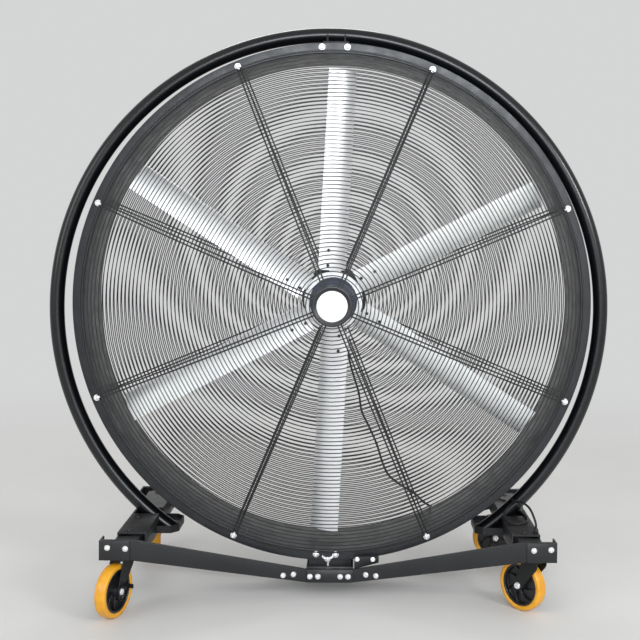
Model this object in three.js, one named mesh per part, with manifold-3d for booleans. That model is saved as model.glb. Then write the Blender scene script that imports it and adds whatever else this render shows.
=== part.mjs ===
// Large drum fan on a wheeled cross base, with a round tube hoop.
// Millimetres, +Z up, the fan blows towards -Y and +X is on the right of someone facing it.
// The origin is on the floor, under the middle of the hoop.
import * as THREE from 'three';
import { mergeVertices } from 'three/addons/utils/BufferGeometryUtils.js';
import Module from 'manifold-3d';

const wasm = await Module();
wasm.setup();

// ---------- driving dimensions ----------
const seat = 0.3; // clearance between pieces that seat on each other
const rad = Math.PI / 180;

const sunk = 1; // joined solids run this far into each other, and cutters this far past a face

const drumBoreR = 1000;
const drumFloorGap = 187; // from the floor to the lowest point of the bore
const drumCentreZ = drumFloorGap + drumBoreR;
const drumDepth = 300;
const drumSheet = 3;
const flangeWidth = 43;
const drumSides = 72;

const wire = 5; // guard wire, height of its bar
const wireWidth = 6;
const spokePairs = 8;
const spokePairGap = 14; // centre to centre of the two wires of a pair
const firstSpoke = 22.5; // degrees
const guardLap = 12; // how far the guard's rim ring lies outside the bore
const hairpinLap = 32; // how far the spoke hairpins reach outside the bore
const guardHubR = 72; // smallest ring, behind the centre disc
const guardInnerR = 102; // second ring
const guardRings = 5; // rings from there out to the rim
const guardRun = 290; // a ring of up to this radius has one straight run between two spokes
const frontDome = 185;
const rearDome = 40;

const discR = 79; // black disc in the middle of the front guard
const discThick = 9;
const discLip = 7;
const capR = 61;
const capRise = 7;

const motorPlateR = 140;
const motorPlateThick = 10;
const motorPlateStep = 1.2; // the plate stands this far in front of the rear guard's wires
const shaftR = 25;
const shaftFlangeR = 46;
const shaftFlangeThick = 12;
const shaftNutR = 36;
const shaftNutThick = 14;
const shaftStub = 19;
const shaftStubR = 22;
const shaftEndOut = 3; // how far the shaft passes the front bearing
const bearingR = 40;
const bearingWidth = 14;
const statorR = 76;
const statorHalf = 26;
const windingRise = 12;
const windingSlope = 8;
const coreWidth = 15; // ring of solid iron round the shaft
const airGap = 2;
const motorR = 98;
const motorHalf = 50; // middle of the blades to either end of the rotor housing
const motorWall = 15; // end wall of the housing that holds the rear bearing
const coverRim = 14;
const coverRise = 18;
const motorChamfer = 4;
const motorSides = 24;
const smallSides = 12;

const bladeCount = 6;
const firstBlade = 2.5; // degrees from straight up, clockwise seen from the front
const tipGap = 40; // from a blade's tip to the drum
const bladeTipR = drumBoreR - tipGap;
const bladeRootGap = 4; // between the hub ring and the blade's end
const bladeChord = 140;
const bladeThick = 19;
const bladePitch = 32; // degrees
const bladeTail = 1.6;
const bladeCamber = 3;
const bladePocketBow = 0.85; // share of the camber at the strut's pocket
const bladeNose = 0.42; // share of the chord ahead of the strut
const bladeShares = [0, 0.015, 0.07, 0.18, 0.38, 0.6, 0.82, 1];
const bladeTipWall = 5;
const strutWidth = 52;
const strutThick = 9;
const strutReach = 200; // how far a strut goes into its blade
const hubRingR = 122;
const hubRingWidth = 28;

const hoopStandoff = 135; // from the drum's bore to the hoop's centre line
const hoopR = drumBoreR + hoopStandoff;
const hoopDrop = 32; // the hoop's centre lies this far below the drum's
const hoopCentreZ = drumCentreZ - hoopDrop;
const hoopCentreX = -14; // and this far to the left of it
const hoopTube = 60; // outer diameter
const hoopWall = 3;
const hoopSides = 10;
const hoopBoreSides = 6;
const hoopLap = 3.4; // degrees, each end runs this far past the foot plate before it is cut level
const hoopFootSpan = 9.5; // degrees, length of the short foot piece sleeved on at the right
const hoopStep = 7; // degrees in one straight run of the tube
const sleeveReach = 90; // spigot length to each side of the joint

const wheelR = 100;
const wheelWidth = 45;
const wheelSides = 18;
const treadThick = 14;
const treadShoulder = 10;
const hubWidth = 50;
const hubR = 24;
const rimR = 72; // inside of the wheel core's rim
const webThick = 12;
const rimSlope = 2;
const axleR = 8;
const forkSheet = 5;
const forkTopThick = 7;
const forkTopR = 42;
const axleBossR = 20;
const axleHeadR = 13;
const axleHeadThick = 8;
const casterTrail = 58;
const casterPlateX = 110;
const casterPlateY = 80;
const casterPlateThick = 6;
const racewayR = 36;
const racewayHeight = 6.5;
const kingpinR = 11;
const legRise = 16; // the fork's legs keep their full width this far below its roof
const pedalThick = 4;
const pedalReach = 46;
const pedalWidth = 18;
const pedalTab = 28;
const pedalBoss = 8; // width of the ring round the axle bolt's head
const diagonal = Math.SQRT1_2;

const memberBottomZ = 226;
const memberTopZ = 300;
const memberPlate = 6;
const memberChannelHalf = 313; // half length of the raised channel
const memberEar = 100; // at each end the base plate is this long as wide as the caster's plate
const memberTabInset = 20; // an end tab starts this far from the base plate's inner edge
const memberTabDrop = 12; // and ends this far below the channel's top
const memberNotch = 46; // half width of the notch that lets the hoop through

const footHalfY = 93;
const footHeight = 30; // the foot is a folded block that the hoop's end stands on
const footChamfer = 30;
const footTopZ = memberBottomZ + memberPlate + seat + footHeight;
const hoopFootX = Math.round(Math.sqrt(hoopR ** 2 - (hoopCentreZ - footTopZ) ** 2));
const footInnerX = hoopFootX - 81;
const footOuterX = hoopFootX + 51;

const casterX = hoopFootX + 96;
const memberInnerX = casterX - 87;
const memberOuterX = casterX + 24; // outside of the channel and of its base plate

const baseHalfY = 410; // outer faces of the end brackets
const casterY = baseHalfY - 80;
const bracketPlate = 6;
const bracketInnerX = casterX - 44;
const bracketOuterX = casterX + 71;
const bracketBottomZ = 223;
const bracketReturn = 64;

const armSheet = 4;
const armFlange = 32; // width of the lower flange
const armTopFlange = 13;
const armTopZ = 298;
const armOuterHeight = 78; // at the bend
const armBendInset = 4; // the arms bend this far inboard of the caster plates
const armInnerX = 100;
const armInnerHeight = 52;
const armInnerBottomZ = 71;
const armMiddleGap = 6;
const armInnerY = 199;

const spliceHalfX = 92;
const splicePlate = 5;
const saddleHalfX = 94;
const saddlePlate = 6;

const bridgeHalfX = 52; // top bracket
const bridgePlate = 6;
const bridgeWeb = 8;
const bridgeWebX = 36;
const cupSteps = 9; // corners of the half-round cup that holds the hoop
const cupLip = 10; // degrees from the cup's edge to the level of the tube's middle
const cradleHalfX = 86; // bottom bracket
const cradleWeb = 8;
const cradleWebX = 60;

const lugX = 98; // small folded lug on the right front arm
const lugLength = 98;
const lugHeight = 46;
const lugDepth = 24;
const lugTaper = 0.45; // height at the outer end, as a share of the inner end's
const lugSheet = 4;

const leadR = 4.5;
const leadSides = 8;
const leadSteps = 54;
const glandR = 11;
const glandHeight = 22;
const glandShoulder = 0.6; // share of the gland's height up to its taper
const glandLip = 3;
const leadTie = 2; // gap that the cable ties leave between the lead and the guard
const leadBend = 14; // straight run of the lead above its gland
const glandX = casterX + 10; // it stands on the right side member, near the front
const glandY = -294;

// ---------- finishes ----------
const finish = {
  powderCoat: { color: 0x3c3e42, roughness: 0.55, metalness: 0.25 },
  hoopPaint: { color: 0x121317, roughness: 0.16, metalness: 0.1 },
  guardWire: { color: 0x1c1d20, roughness: 0.45, metalness: 0.3 },
  blade: { color: 0xdcdee0, roughness: 0.32, metalness: 0.85 },
  motorPaint: { color: 0x343a48, roughness: 0.5, metalness: 0.3 },
  steel: { color: 0xb9bcc0, roughness: 0.3, metalness: 0.9 },
  copper: { color: 0x9a5a34, roughness: 0.45, metalness: 0.7 },
  blackPlastic: { color: 0x141416, roughness: 0.4, metalness: 0.0 },
  whitePlastic: { color: 0xeeeef0, roughness: 0.25, metalness: 0.0 },
  tyre: { color: 0xf0b41c, roughness: 0.3, metalness: 0.0 },
  cable: { color: 0x18181a, roughness: 0.55, metalness: 0.0 },
};

// ---------- working with closed shapes ----------
function signedVolume(positions, index) {
  const [a, b, c] = [new THREE.Vector3(), new THREE.Vector3(), new THREE.Vector3()];
  let six = 0;
  for (let i = 0; i < index.length; i += 3) {
    a.fromBufferAttribute(positions, index[i]);
    b.fromBufferAttribute(positions, index[i + 1]);
    c.fromBufferAttribute(positions, index[i + 2]);
    six += a.dot(b.cross(c));
  }
  return six / 6;
}

// Shares the vertices along every seam and turns all faces outwards.
function closed(source) {
  const bare = source.clone();
  bare.deleteAttribute('normal');
  bare.deleteAttribute('uv');
  const merged = mergeVertices(bare, 1e-3);
  const kept = [];
  const all = merged.index.array;
  for (let i = 0; i < all.length; i += 3) {
    const [a, b, c] = [all[i], all[i + 1], all[i + 2]];
    if (a !== b && b !== c && c !== a) kept.push(a, b, c);
  }
  if (signedVolume(merged.attributes.position, kept) < 0) kept.reverse();
  merged.setIndex(kept);
  return merged;
}

function solid(geometry) {
  const shape = closed(geometry);
  return new wasm.Manifold(new wasm.Mesh({
    numProp: 3,
    vertProperties: new Float32Array(shape.attributes.position.array),
    triVerts: new Uint32Array(shape.index.array),
  }));
}

function geometryOf(manifold) {
  const mesh = manifold.getMesh();
  const geometry = new THREE.BufferGeometry();
  geometry.setAttribute('position', new THREE.BufferAttribute(mesh.vertProperties, 3));
  geometry.setIndex(new THREE.BufferAttribute(mesh.triVerts, 1));
  return geometry;
}

function joined(...geometries) {
  return geometryOf(geometries.map(solid).reduce((whole, next) => whole.add(next)));
}

function cut(geometry, ...tools) {
  return geometryOf(tools.map(solid).reduce((whole, next) => whole.subtract(next), solid(geometry)));
}

function block([x0, x1], [y0, y1], [z0, z1]) {
  const box = new THREE.BoxGeometry(x1 - x0, y1 - y0, z1 - z0);
  return box.translate((x0 + x1) / 2, (y0 + y1) / 2, (z0 + z1) / 2);
}

// Turns a closed outline of [radius, height] points about the Y axis.
function turned(outline, sides) {
  const points = outline.map(([r, y]) => new THREE.Vector2(r, y));
  if (outline[0][0] > 0) points.push(points[0].clone());
  return closed(new THREE.LatheGeometry(points, sides));
}

function turnedUpright(outline, sides) {
  return turned(outline, sides).rotateX(Math.PI / 2);
}

// Radius of a faceted bore whose flats clear a round of the given radius.
function boreFor(radius, sides, clearance = seat) {
  return (radius + clearance) / Math.cos(Math.PI / sides);
}

// Extrudes an outline of [u, v] points by a depth along w, where u, v and w are unit vectors.
function extruded(outline, depth, u, v) {
  const shape = new THREE.Shape(outline.map(([a, b]) => new THREE.Vector2(a, b)));
  const geometry = new THREE.ExtrudeGeometry(shape, { depth, bevelEnabled: false });
  const w = u.clone().cross(v);
  return geometry.applyMatrix4(new THREE.Matrix4().makeBasis(u, v, w));
}

const X = new THREE.Vector3(1, 0, 0);
const Y = new THREE.Vector3(0, 1, 0);
const Z = new THREE.Vector3(0, 0, 1);

// Skins a row of C or box sections, each at its own X, given as [y, z] points.
function lofted(stations) {
  const count = stations[0].section.length;
  const positions = stations.flatMap(({ x, section }) => section.flatMap(([y, z]) => [x, y, z]));
  const index = [];
  for (let s = 0; s < stations.length - 1; s += 1) {
    for (let i = 0; i < count; i += 1) {
      const a = s * count + i;
      const b = s * count + (i + 1) % count;
      index.push(a, b, b + count, a, b + count, a + count);
    }
  }
  const cap = stations[0].section.map(([y, z]) => new THREE.Vector2(y, z));
  const last = (stations.length - 1) * count;
  const turnedOver = THREE.ShapeUtils.isClockWise(cap);
  for (const triangle of THREE.ShapeUtils.triangulateShape(cap, [])) {
    const [a, b, c] = turnedOver ? triangle.reverse() : triangle;
    index.push(c, b, a, last + a, last + b, last + c);
  }
  const geometry = new THREE.BufferGeometry();
  geometry.setAttribute('position', new THREE.Float32BufferAttribute(positions, 3));
  geometry.setIndex(index);
  return closed(geometry);
}

const fan = new THREE.Group();

function add(parent, name, geometry, finishName) {
  const mesh = new THREE.Mesh(geometry, new THREE.MeshStandardMaterial(finish[finishName]));
  mesh.name = name;
  mesh.geometry.computeVertexNormals();
  parent.add(mesh);
  return mesh;
}

// ---------- drum ----------
const drumHalf = drumDepth / 2;
const drumOuterR = drumBoreR + drumSheet;
const flangeR = drumBoreR + flangeWidth;

const drumGroup = new THREE.Group();
drumGroup.position.z = drumCentreZ;
fan.add(drumGroup);

function drumShell() {
  const inner = drumHalf - drumSheet;
  const half = [
    [drumBoreR, drumHalf],
    [flangeR, drumHalf],
    [flangeR, inner],
    [drumOuterR, inner],
  ];
  const front = half.map(([r, y]) => [r, -y]);
  return turned([...front, ...half.reverse()], drumSides);
}

// ---------- wire guards ----------
// Every wire is a bar with a flat back and a ridge in front, so crossing wires meet in valleys.
const guardRimR = drumBoreR + guardLap;
const hairpinR = drumBoreR + hairpinLap;

function guardRadii() {
  const step = (guardRimR - guardInnerR) / guardRings;
  const outer = Array.from({ length: guardRings }, (_, i) => guardInnerR + step * (i + 1));
  return [guardHubR, guardInnerR, ...outer];
}

function domeHeight(r, dome) {
  if (r >= guardRimR) return 0;
  const sphere = (guardRimR ** 2 + dome ** 2) / (2 * dome);
  return Math.sqrt(sphere ** 2 - r ** 2) - (sphere - dome);
}

class Lattice {
  constructor(dome, facing) {
    this.dome = dome;
    this.facing = facing;
    this.positions = [];
    this.index = [];
  }

  vertex(x, z, lift) {
    const back = drumHalf + seat + domeHeight(Math.hypot(x, z), this.dome);
    this.positions.push(x, this.facing * (back + lift), z);
    return this.positions.length / 3 - 1;
  }

  // A crossing of a ring with a straight wire that runs beside the spoke's middle line.
  crossing(r, spokeAngle, side) {
    const aside = side * spokePairGap / 2;
    const along = Math.sqrt(r ** 2 - aside ** 2);
    const half = wireWidth / 2;
    const at = (a, t, lift) => this.vertex(
      a * Math.cos(spokeAngle) - t * Math.sin(spokeAngle),
      a * Math.sin(spokeAngle) + t * Math.cos(spokeAngle),
      lift,
    );
    return {
      ridge: at(along, aside, wire),
      innerLeft: at(along - half, aside + half, 0),
      innerRight: at(along - half, aside - half, 0),
      outerLeft: at(along + half, aside + half, 0),
      outerRight: at(along + half, aside - half, 0),
    };
  }

  // A plain point of a ring, between two spokes.
  bend(r, angle) {
    const at = (radius, lift) => this.vertex(radius * Math.cos(angle), radius * Math.sin(angle), lift);
    const inner = at(r - wireWidth / 2, 0);
    const outer = at(r + wireWidth / 2, 0);
    return {
      ridge: at(r, wire), innerLeft: inner, innerRight: inner, outerLeft: outer, outerRight: outer,
    };
  }

  bar(leftA, ridgeA, rightA, leftB, ridgeB, rightB) {
    this.index.push(leftA, ridgeA, ridgeB, leftA, ridgeB, leftB);
    this.index.push(ridgeA, rightA, rightB, ridgeA, rightB, ridgeB);
    this.index.push(leftA, leftB, rightB, leftA, rightB, rightA);
  }

  ringBar(from, to) {
    this.bar(from.innerLeft, from.ridge, from.outerLeft, to.innerRight, to.ridge, to.outerRight);
  }

  spokeBar(from, to) {
    this.bar(from.outerLeft, from.ridge, from.outerRight, to.innerLeft, to.ridge, to.innerRight);
  }

  // Closes a crossing: its back, and each side that no wire leaves from.
  finish(node, ends) {
    const { ridge, innerLeft, innerRight, outerLeft, outerRight } = node;
    this.index.push(outerLeft, outerRight, innerRight, outerLeft, innerRight, innerLeft);
    if (ends.includes('outer')) this.index.push(ridge, outerRight, outerLeft);
    if (ends.includes('inner')) this.index.push(ridge, innerLeft, innerRight);
    if (ends.includes('left')) this.index.push(ridge, outerLeft, innerLeft);
    if (ends.includes('right')) this.index.push(ridge, innerRight, outerRight);
  }

  geometry() {
    const geometry = new THREE.BufferGeometry();
    geometry.setAttribute('position', new THREE.Float32BufferAttribute(this.positions, 3));
    geometry.setIndex(this.index);
    return closed(geometry);
  }
}

function wireGuard(dome, facing) {
  const net = new Lattice(dome, facing);
  const sector = 2 * Math.PI / spokePairs;
  const spokeAngle = (k) => firstSpoke * rad + k * sector;
  const pairs = Array.from({ length: spokePairs }, () => ({ right: null, left: null }));
  guardRadii().forEach((r, ring) => {
    const ends = ring === 0 ? ['inner'] : [];
    const runs = Math.ceil(r / guardRun);
    const nodes = [];
    pairs.forEach((pair, k) => {
      const right = net.crossing(r, spokeAngle(k), -1);
      const left = net.crossing(r, spokeAngle(k), 1);
      for (const [last, next] of [[pair.right, right], [pair.left, left]]) {
        if (last) net.spokeBar(last, next);
        net.finish(next, ends);
      }
      pairs[k] = { right, left };
      nodes.push(right, left);
      const aside = Math.asin(spokePairGap / 2 / r);
      const open = sector - 2 * aside;
      for (let i = 1; i < runs; i += 1) {
        nodes.push(net.bend(r, spokeAngle(k) + aside + open * i / runs));
      }
    });
    nodes.forEach((node, i) => net.ringBar(node, nodes[(i + 1) % nodes.length]));
  });
  pairs.forEach((pair, k) => {
    const right = net.crossing(hairpinR, spokeAngle(k), -1);
    const left = net.crossing(hairpinR, spokeAngle(k), 1);
    net.spokeBar(pair.right, right);
    net.spokeBar(pair.left, left);
    net.ringBar(right, left);
    net.finish(right, ['outer', 'right']);
    net.finish(left, ['outer', 'left']);
  });
  return net.geometry();
}

// ---------- centre of the front guard ----------
const discBackY = -(drumHalf + seat + frontDome + wire + seat);

function centreDisc() {
  const front = discBackY - discThick;
  const pocket = boreFor(capR, motorSides);
  return turned([
    [0, front],
    [pocket, front],
    [pocket, front - discLip + seat],
    [discR - 4, front - discLip],
    [discR, front - discLip / 2],
    [discR, discBackY],
    [0, discBackY],
  ], motorSides);
}

function hubCap() {
  const back = discBackY - discThick - seat;
  return turned([
    [0, back - capRise],
    [capR * 0.82, back - capRise],
    [capR * 0.87, back - capRise + 1.2],
    [capR * 0.94, back - capRise + 0.8],
    [capR, back - capRise + 3],
    [capR, back],
    [0, back],
  ], motorSides);
}

// ---------- motor and rotor ----------
const rearPlateBack = drumHalf + seat + domeHeight(motorPlateR, rearDome) - seat - motorPlateStep;
const rearPlateFront = rearPlateBack - motorPlateThick;
const shaftBore = boreFor(shaftR, smallSides);
const bearingBore = boreFor(bearingR, motorSides);
const bearingY = motorHalf + sunk; // inner face of each bearing

function motorPlate() {
  const bore = boreFor(shaftStubR, smallSides);
  return turned([
    [bore, rearPlateFront],
    [motorPlateR, rearPlateFront],
    [motorPlateR, rearPlateBack],
    [bore, rearPlateBack],
  ], motorSides);
}

function motorShaft() {
  const flangeBack = rearPlateFront - seat;
  const flangeFront = flangeBack - shaftFlangeThick;
  const stubEnd = rearPlateBack + shaftStub;
  const front = -(bearingY + bearingWidth + shaftEndOut);
  const shaft = turned([
    [0, front],
    [shaftR, front],
    [shaftR, flangeFront],
    [shaftFlangeR, flangeFront],
    [shaftFlangeR, flangeBack],
    [shaftStubR, flangeBack],
    [shaftStubR, stubEnd],
    [0, stubEnd],
  ], smallSides);
  const nut = turned([
    [0, rearPlateBack + seat],
    [shaftNutR, rearPlateBack + seat],
    [shaftNutR, rearPlateBack + seat + shaftNutThick],
    [0, rearPlateBack + seat + shaftNutThick],
  ], 6);
  return joined(shaft, nut);
}

function motorStator() {
  const inside = shaftR + coreWidth;
  const half = [
    [shaftBore, statorHalf],
    [inside, statorHalf],
    [inside + windingSlope, statorHalf + windingRise],
    [statorR - windingSlope, statorHalf + windingRise],
    [statorR, statorHalf],
  ];
  const front = half.map(([r, y]) => [r, -y]);
  return turned([...front, ...half.reverse()], motorSides);
}

function bearing(innerY) {
  const [near, far] = [Math.min(innerY, innerY + Math.sign(innerY) * bearingWidth),
    Math.max(innerY, innerY + Math.sign(innerY) * bearingWidth)];
  return turned([[shaftBore, near], [bearingR, near], [bearingR, far], [shaftBore, far]], motorSides);
}

function rotorHousing() {
  const end = motorHalf + motorWall;
  const inside = boreFor(statorR, motorSides, airGap);
  return turned([
    [inside, -motorHalf],
    [motorR, -motorHalf],
    [motorR, end - motorChamfer],
    [motorR - motorChamfer, end],
    [bearingBore, end],
    [bearingBore, motorHalf],
    [inside, motorHalf],
  ], motorSides);
}

function rotorCover() {
  const back = -(motorHalf + seat);
  const rim = back - coverRim;
  const nose = rim - coverRise;
  const seatEnd = -(bearingY + bearingWidth + seat);
  const shaftEnd = seatEnd - 2 * shaftEndOut;
  const room = boreFor(shaftR, smallSides, 2);
  return turned([
    [0, nose],
    [bearingR, nose],
    [motorR * 0.75, rim - coverRise / 2],
    [motorR, rim],
    [motorR, back],
    [bearingBore, back],
    [bearingBore, seatEnd],
    [room, seatEnd],
    [room, shaftEnd],
    [0, shaftEnd],
  ], motorSides);
}

// Struts and blades are made pointing along +Z with the fan's axis as Y, then turned to their place.
function bladeTurn(k) {
  const turn = new THREE.Matrix4().makeRotationY((firstBlade + k * 360 / bladeCount) * rad);
  return turn.multiply(new THREE.Matrix4().makeRotationZ(bladePitch * rad));
}

function bladeHub() {
  const bore = boreFor(motorR, motorSides);
  const ring = turned([
    [bore, -hubRingWidth / 2],
    [hubRingR, -hubRingWidth / 2],
    [hubRingR, hubRingWidth / 2],
    [bore, hubRingWidth / 2],
  ], motorSides);
  const root = bore + 2;
  const tip = hubRingR + bladeRootGap + strutReach;
  const struts = Array.from({ length: bladeCount }, (_, k) => {
    const strut = block(
      [-strutWidth / 2, strutWidth / 2],
      [-strutThick / 2, strutThick / 2],
      [root, tip],
    );
    return strut.applyMatrix4(bladeTurn(k));
  });
  return joined(ring, ...struts);
}

// Half thickness of the blade at a share of its chord, from the nose (0) to the tail (1).
function bladeHalf(share) {
  const t = bladeThick / bladeChord;
  const poly = 0.2969 * Math.sqrt(share) - 0.126 * share - 0.3516 * share ** 2
    + 0.2843 * share ** 3 - 0.1036 * share ** 4;
  return 5 * t * poly * bladeChord;
}

// Height of the bowed middle line, set so that the strut's pocket runs along it.
function bladeBow(share) {
  return bladeCamber * (4 * share * (1 - share) - bladePocketBow);
}

// Outline across the blade: nose on +x, tail on -x, the hollow side towards -y.
function airfoil() {
  const nose = bladeChord * bladeNose;
  const edge = (side) => (share) => [
    nose - share * bladeChord,
    bladeBow(share) + side * Math.max(bladeHalf(share), bladeTail / 2),
  ];
  const upper = bladeShares.map(edge(1));
  const lower = bladeShares.slice(1).map(edge(-1));
  return [...upper, ...lower.reverse()];
}

function blade(k) {
  const root = hubRingR + bladeRootGap;
  const run = bladeTipR - root;
  const body = extruded(airfoil(), run, X, Y).translate(0, 0, root);
  const pocket = block(
    [-strutWidth / 2 - seat, strutWidth / 2 + seat],
    [-strutThick / 2 - seat, strutThick / 2 + seat],
    [root - 1, bladeTipR - bladeTipWall],
  );
  const hollow = cut(body, pocket);
  return hollow.applyMatrix4(bladeTurn(k));
}

function placeFan() {
  add(drumGroup, 'drum_shell', drumShell(), 'powderCoat');
  add(drumGroup, 'front_guard', wireGuard(frontDome, -1), 'guardWire');
  add(drumGroup, 'rear_guard', wireGuard(rearDome, 1), 'guardWire');
  add(drumGroup, 'guard_centre_disc', centreDisc(), 'blackPlastic');
  add(drumGroup, 'hub_cap', hubCap(), 'whitePlastic');
  add(drumGroup, 'motor_plate', motorPlate(), 'powderCoat');
  add(drumGroup, 'motor_shaft', motorShaft(), 'steel');
  add(drumGroup, 'motor_stator', motorStator(), 'copper');
  add(drumGroup, 'front_bearing', bearing(-bearingY), 'steel');
  add(drumGroup, 'rear_bearing', bearing(bearingY), 'steel');
  const rotor = new THREE.Group();
  drumGroup.add(rotor);
  add(rotor, 'rotor_housing', rotorHousing(), 'motorPaint');
  add(rotor, 'rotor_cover', rotorCover(), 'motorPaint');
  add(rotor, 'blade_hub', bladeHub(), 'motorPaint');
  for (let k = 0; k < bladeCount; k += 1) add(rotor, `blade_${k + 1}`, blade(k), 'blade');
}

// ---------- hoop ----------
const hoopFootAngle = Math.asin((footTopZ - hoopCentreZ) / hoopR) / rad;
const hoopEnd = hoopFootAngle - hoopLap;
const hoopJoint = hoopEnd + hoopFootSpan;
const hoopSlack = hoopR * (1 - Math.cos(hoopStep * rad / 2)); // bow of the arc over one straight run

class HoopArc extends THREE.Curve {
  constructor(from, to) {
    super();
    this.from = from;
    this.to = to;
  }

  getPoint(t) {
    const angle = (this.from + (this.to - this.from) * t) * rad;
    return new THREE.Vector3(
      hoopCentreX + hoopR * Math.cos(angle),
      0,
      hoopCentreZ + hoopR * Math.sin(angle),
    );
  }
}

function bentTube(from, to, outerR, innerR, sides) {
  const shape = new THREE.Shape(ringPoints(outerR, sides));
  shape.holes.push(new THREE.Path(ringPoints(innerR, hoopBoreSides)));
  return closed(new THREE.ExtrudeGeometry(shape, {
    steps: Math.ceil((to - from) / hoopStep),
    bevelEnabled: false,
    extrudePath: new HoopArc(from, to),
  }));
}

function ringPoints(radius, sides) {
  return Array.from({ length: sides }, (_, i) => {
    const angle = 2 * Math.PI * i / sides;
    return new THREE.Vector2(radius * Math.cos(angle), radius * Math.sin(angle));
  });
}

// Each end of the hoop is cut level, so that it stands on its foot plate.
function cutLevel(tube) {
  const far = hoopR + hoopTube + Math.abs(hoopCentreX);
  return cut(tube, block([-far, far], [-hoopTube, hoopTube], [-hoopTube, footTopZ + seat]));
}

function placeHoop() {
  const tubeR = hoopTube / 2;
  const boreR = tubeR - hoopWall;
  const gap = seat / hoopR / rad;
  const main = bentTube(hoopJoint + gap, 180 - hoopEnd, tubeR, boreR, hoopSides);
  const foot = bentTube(hoopEnd, hoopJoint, tubeR, boreR, hoopSides);
  const spigotR = boreR * Math.cos(Math.PI / hoopBoreSides) - hoopSlack - seat;
  const reach = sleeveReach / hoopR / rad;
  const spigot = bentTube(hoopJoint - reach, hoopJoint + reach, spigotR, spigotR - hoopWall, hoopBoreSides);
  add(fan, 'hoop_main', cutLevel(main), 'hoopPaint');
  add(fan, 'hoop_foot', cutLevel(foot), 'hoopPaint');
  add(fan, 'hoop_spigot', spigot, 'steel');
}

// ---------- brackets between drum, hoop and base ----------
const drumTopZ = drumCentreZ + flangeR;
const bracketEndY = drumHalf - drumSheet - seat; // the brackets fit between the drum's flanges

function drumRoom() {
  const r = drumOuterR + seat;
  return turned([[0, -drumHalf], [r, -drumHalf], [r, drumHalf], [0, drumHalf]], drumSides)
    .translate(0, 0, drumCentreZ);
}

// The two plates of a bracket that stand behind the flanges and are bolted to them.
function flangePlates(halfX, thick, heights) {
  return [-1, 1].map((side) => {
    const faces = [side * (bracketEndY - thick), side * bracketEndY].sort((a, b) => a - b);
    return block([-halfX, halfX], faces, heights);
  });
}

function topBracket() {
  const plateZ = drumTopZ + seat;
  const plate = block(
    [-bridgeHalfX, bridgeHalfX],
    [-bracketEndY, bracketEndY],
    [plateZ, plateZ + bridgePlate],
  );
  const plates = flangePlates(bridgeHalfX, bridgePlate, [drumCentreZ + drumBoreR, plateZ + sunk]);
  const webs = [-1, 1].map((side) => cupWeb(side * bridgeWebX, plateZ));
  return cut(joined(plate, ...plates, ...webs), drumRoom());
}

// A web that stands on the plate and holds the hoop from below in a half-round cup.
function cupWeb(x, plateZ) {
  const tubeZ = hoopCentreZ + Math.sqrt(hoopR ** 2 - (x - hoopCentreX) ** 2);
  const cup = boreFor(hoopTube / 2 + hoopSlack, 2 * (cupSteps + 1));
  const cheek = cup + bridgeWeb;
  const step = (180 - 2 * cupLip) / (cupSteps - 1);
  const arc = Array.from({ length: cupSteps }, (_, i) => {
    const angle = -(cupLip + step * i) * rad;
    return [cup * Math.cos(angle), tubeZ + cup * Math.sin(angle)];
  });
  const top = arc[0][1];
  const outline = [[-cheek, top], [-cheek, plateZ], [cheek, plateZ], [cheek, top], ...arc];
  return extruded(outline, bridgeWeb, Y, Z).translate(x - bridgeWeb / 2, 0, 0);
}

function bottomBracket() {
  const plateZ = armInnerBottomZ + armInnerHeight + seat;
  const top = drumCentreZ - drumBoreR;
  const plate = block(
    [-cradleHalfX, cradleHalfX],
    [-bracketEndY, bracketEndY],
    [plateZ, plateZ + bridgePlate],
  );
  const plates = flangePlates(cradleHalfX, bridgePlate, [plateZ, top]);
  const webs = [-1, 1].map((side) => block(
    [side * cradleWebX - cradleWeb / 2, side * cradleWebX + cradleWeb / 2],
    [-bracketEndY + sunk, bracketEndY - sunk],
    [plateZ + sunk, top],
  ));
  return cut(joined(plate, ...plates, ...webs), drumRoom());
}

// ---------- cross base ----------
const armWebY = baseHalfY - bracketPlate - seat; // outer face of an arm at its outer end
const armBendX = casterX - casterPlateX / 2 - armBendInset;
const memberEndY = armWebY - armFlange - seat;

// A C section that opens inwards, as [y, z] points.
function armSection(side, outer, bottom, top) {
  const web = outer - armSheet;
  const tip = outer - armFlange;
  const topTip = outer - armTopFlange;
  const profile = [
    [outer, bottom],
    [outer, top],
    [topTip, top],
    [topTip, top - armSheet],
    [web, top - armSheet],
    [web, bottom + armSheet],
    [tip, bottom + armSheet],
    [tip, bottom],
  ];
  return profile.map(([y, z]) => [side * y, z]);
}

// The lower edge runs straight on to the end, past the bend in the upper one.
function arm(sideX, sideY) {
  const innerTop = armInnerBottomZ + armInnerHeight;
  const bendBottom = armTopZ - armOuterHeight;
  const rise = (bendBottom - armInnerBottomZ) / (armBendX - armInnerX);
  const endX = bracketOuterX - bracketPlate - 2 * seat;
  const endBottom = bendBottom + rise * (endX - armBendX);
  const inner = armSection(sideY, armInnerY, armInnerBottomZ, innerTop);
  return lofted([
    { x: sideX * armMiddleGap / 2, section: inner },
    { x: sideX * armInnerX, section: inner },
    { x: sideX * armBendX, section: armSection(sideY, armWebY, bendBottom, armTopZ) },
    { x: sideX * endX, section: armSection(sideY, armWebY, endBottom, armTopZ) },
  ]);
}

function splicePlateFor(sideY) {
  const faces = [sideY * (armInnerY + seat), sideY * (armInnerY + seat + splicePlate)];
  return block(
    [-spliceHalfX, spliceHalfX],
    faces.sort((a, b) => a - b),
    [armInnerBottomZ, armInnerBottomZ + armInnerHeight],
  );
}

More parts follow.
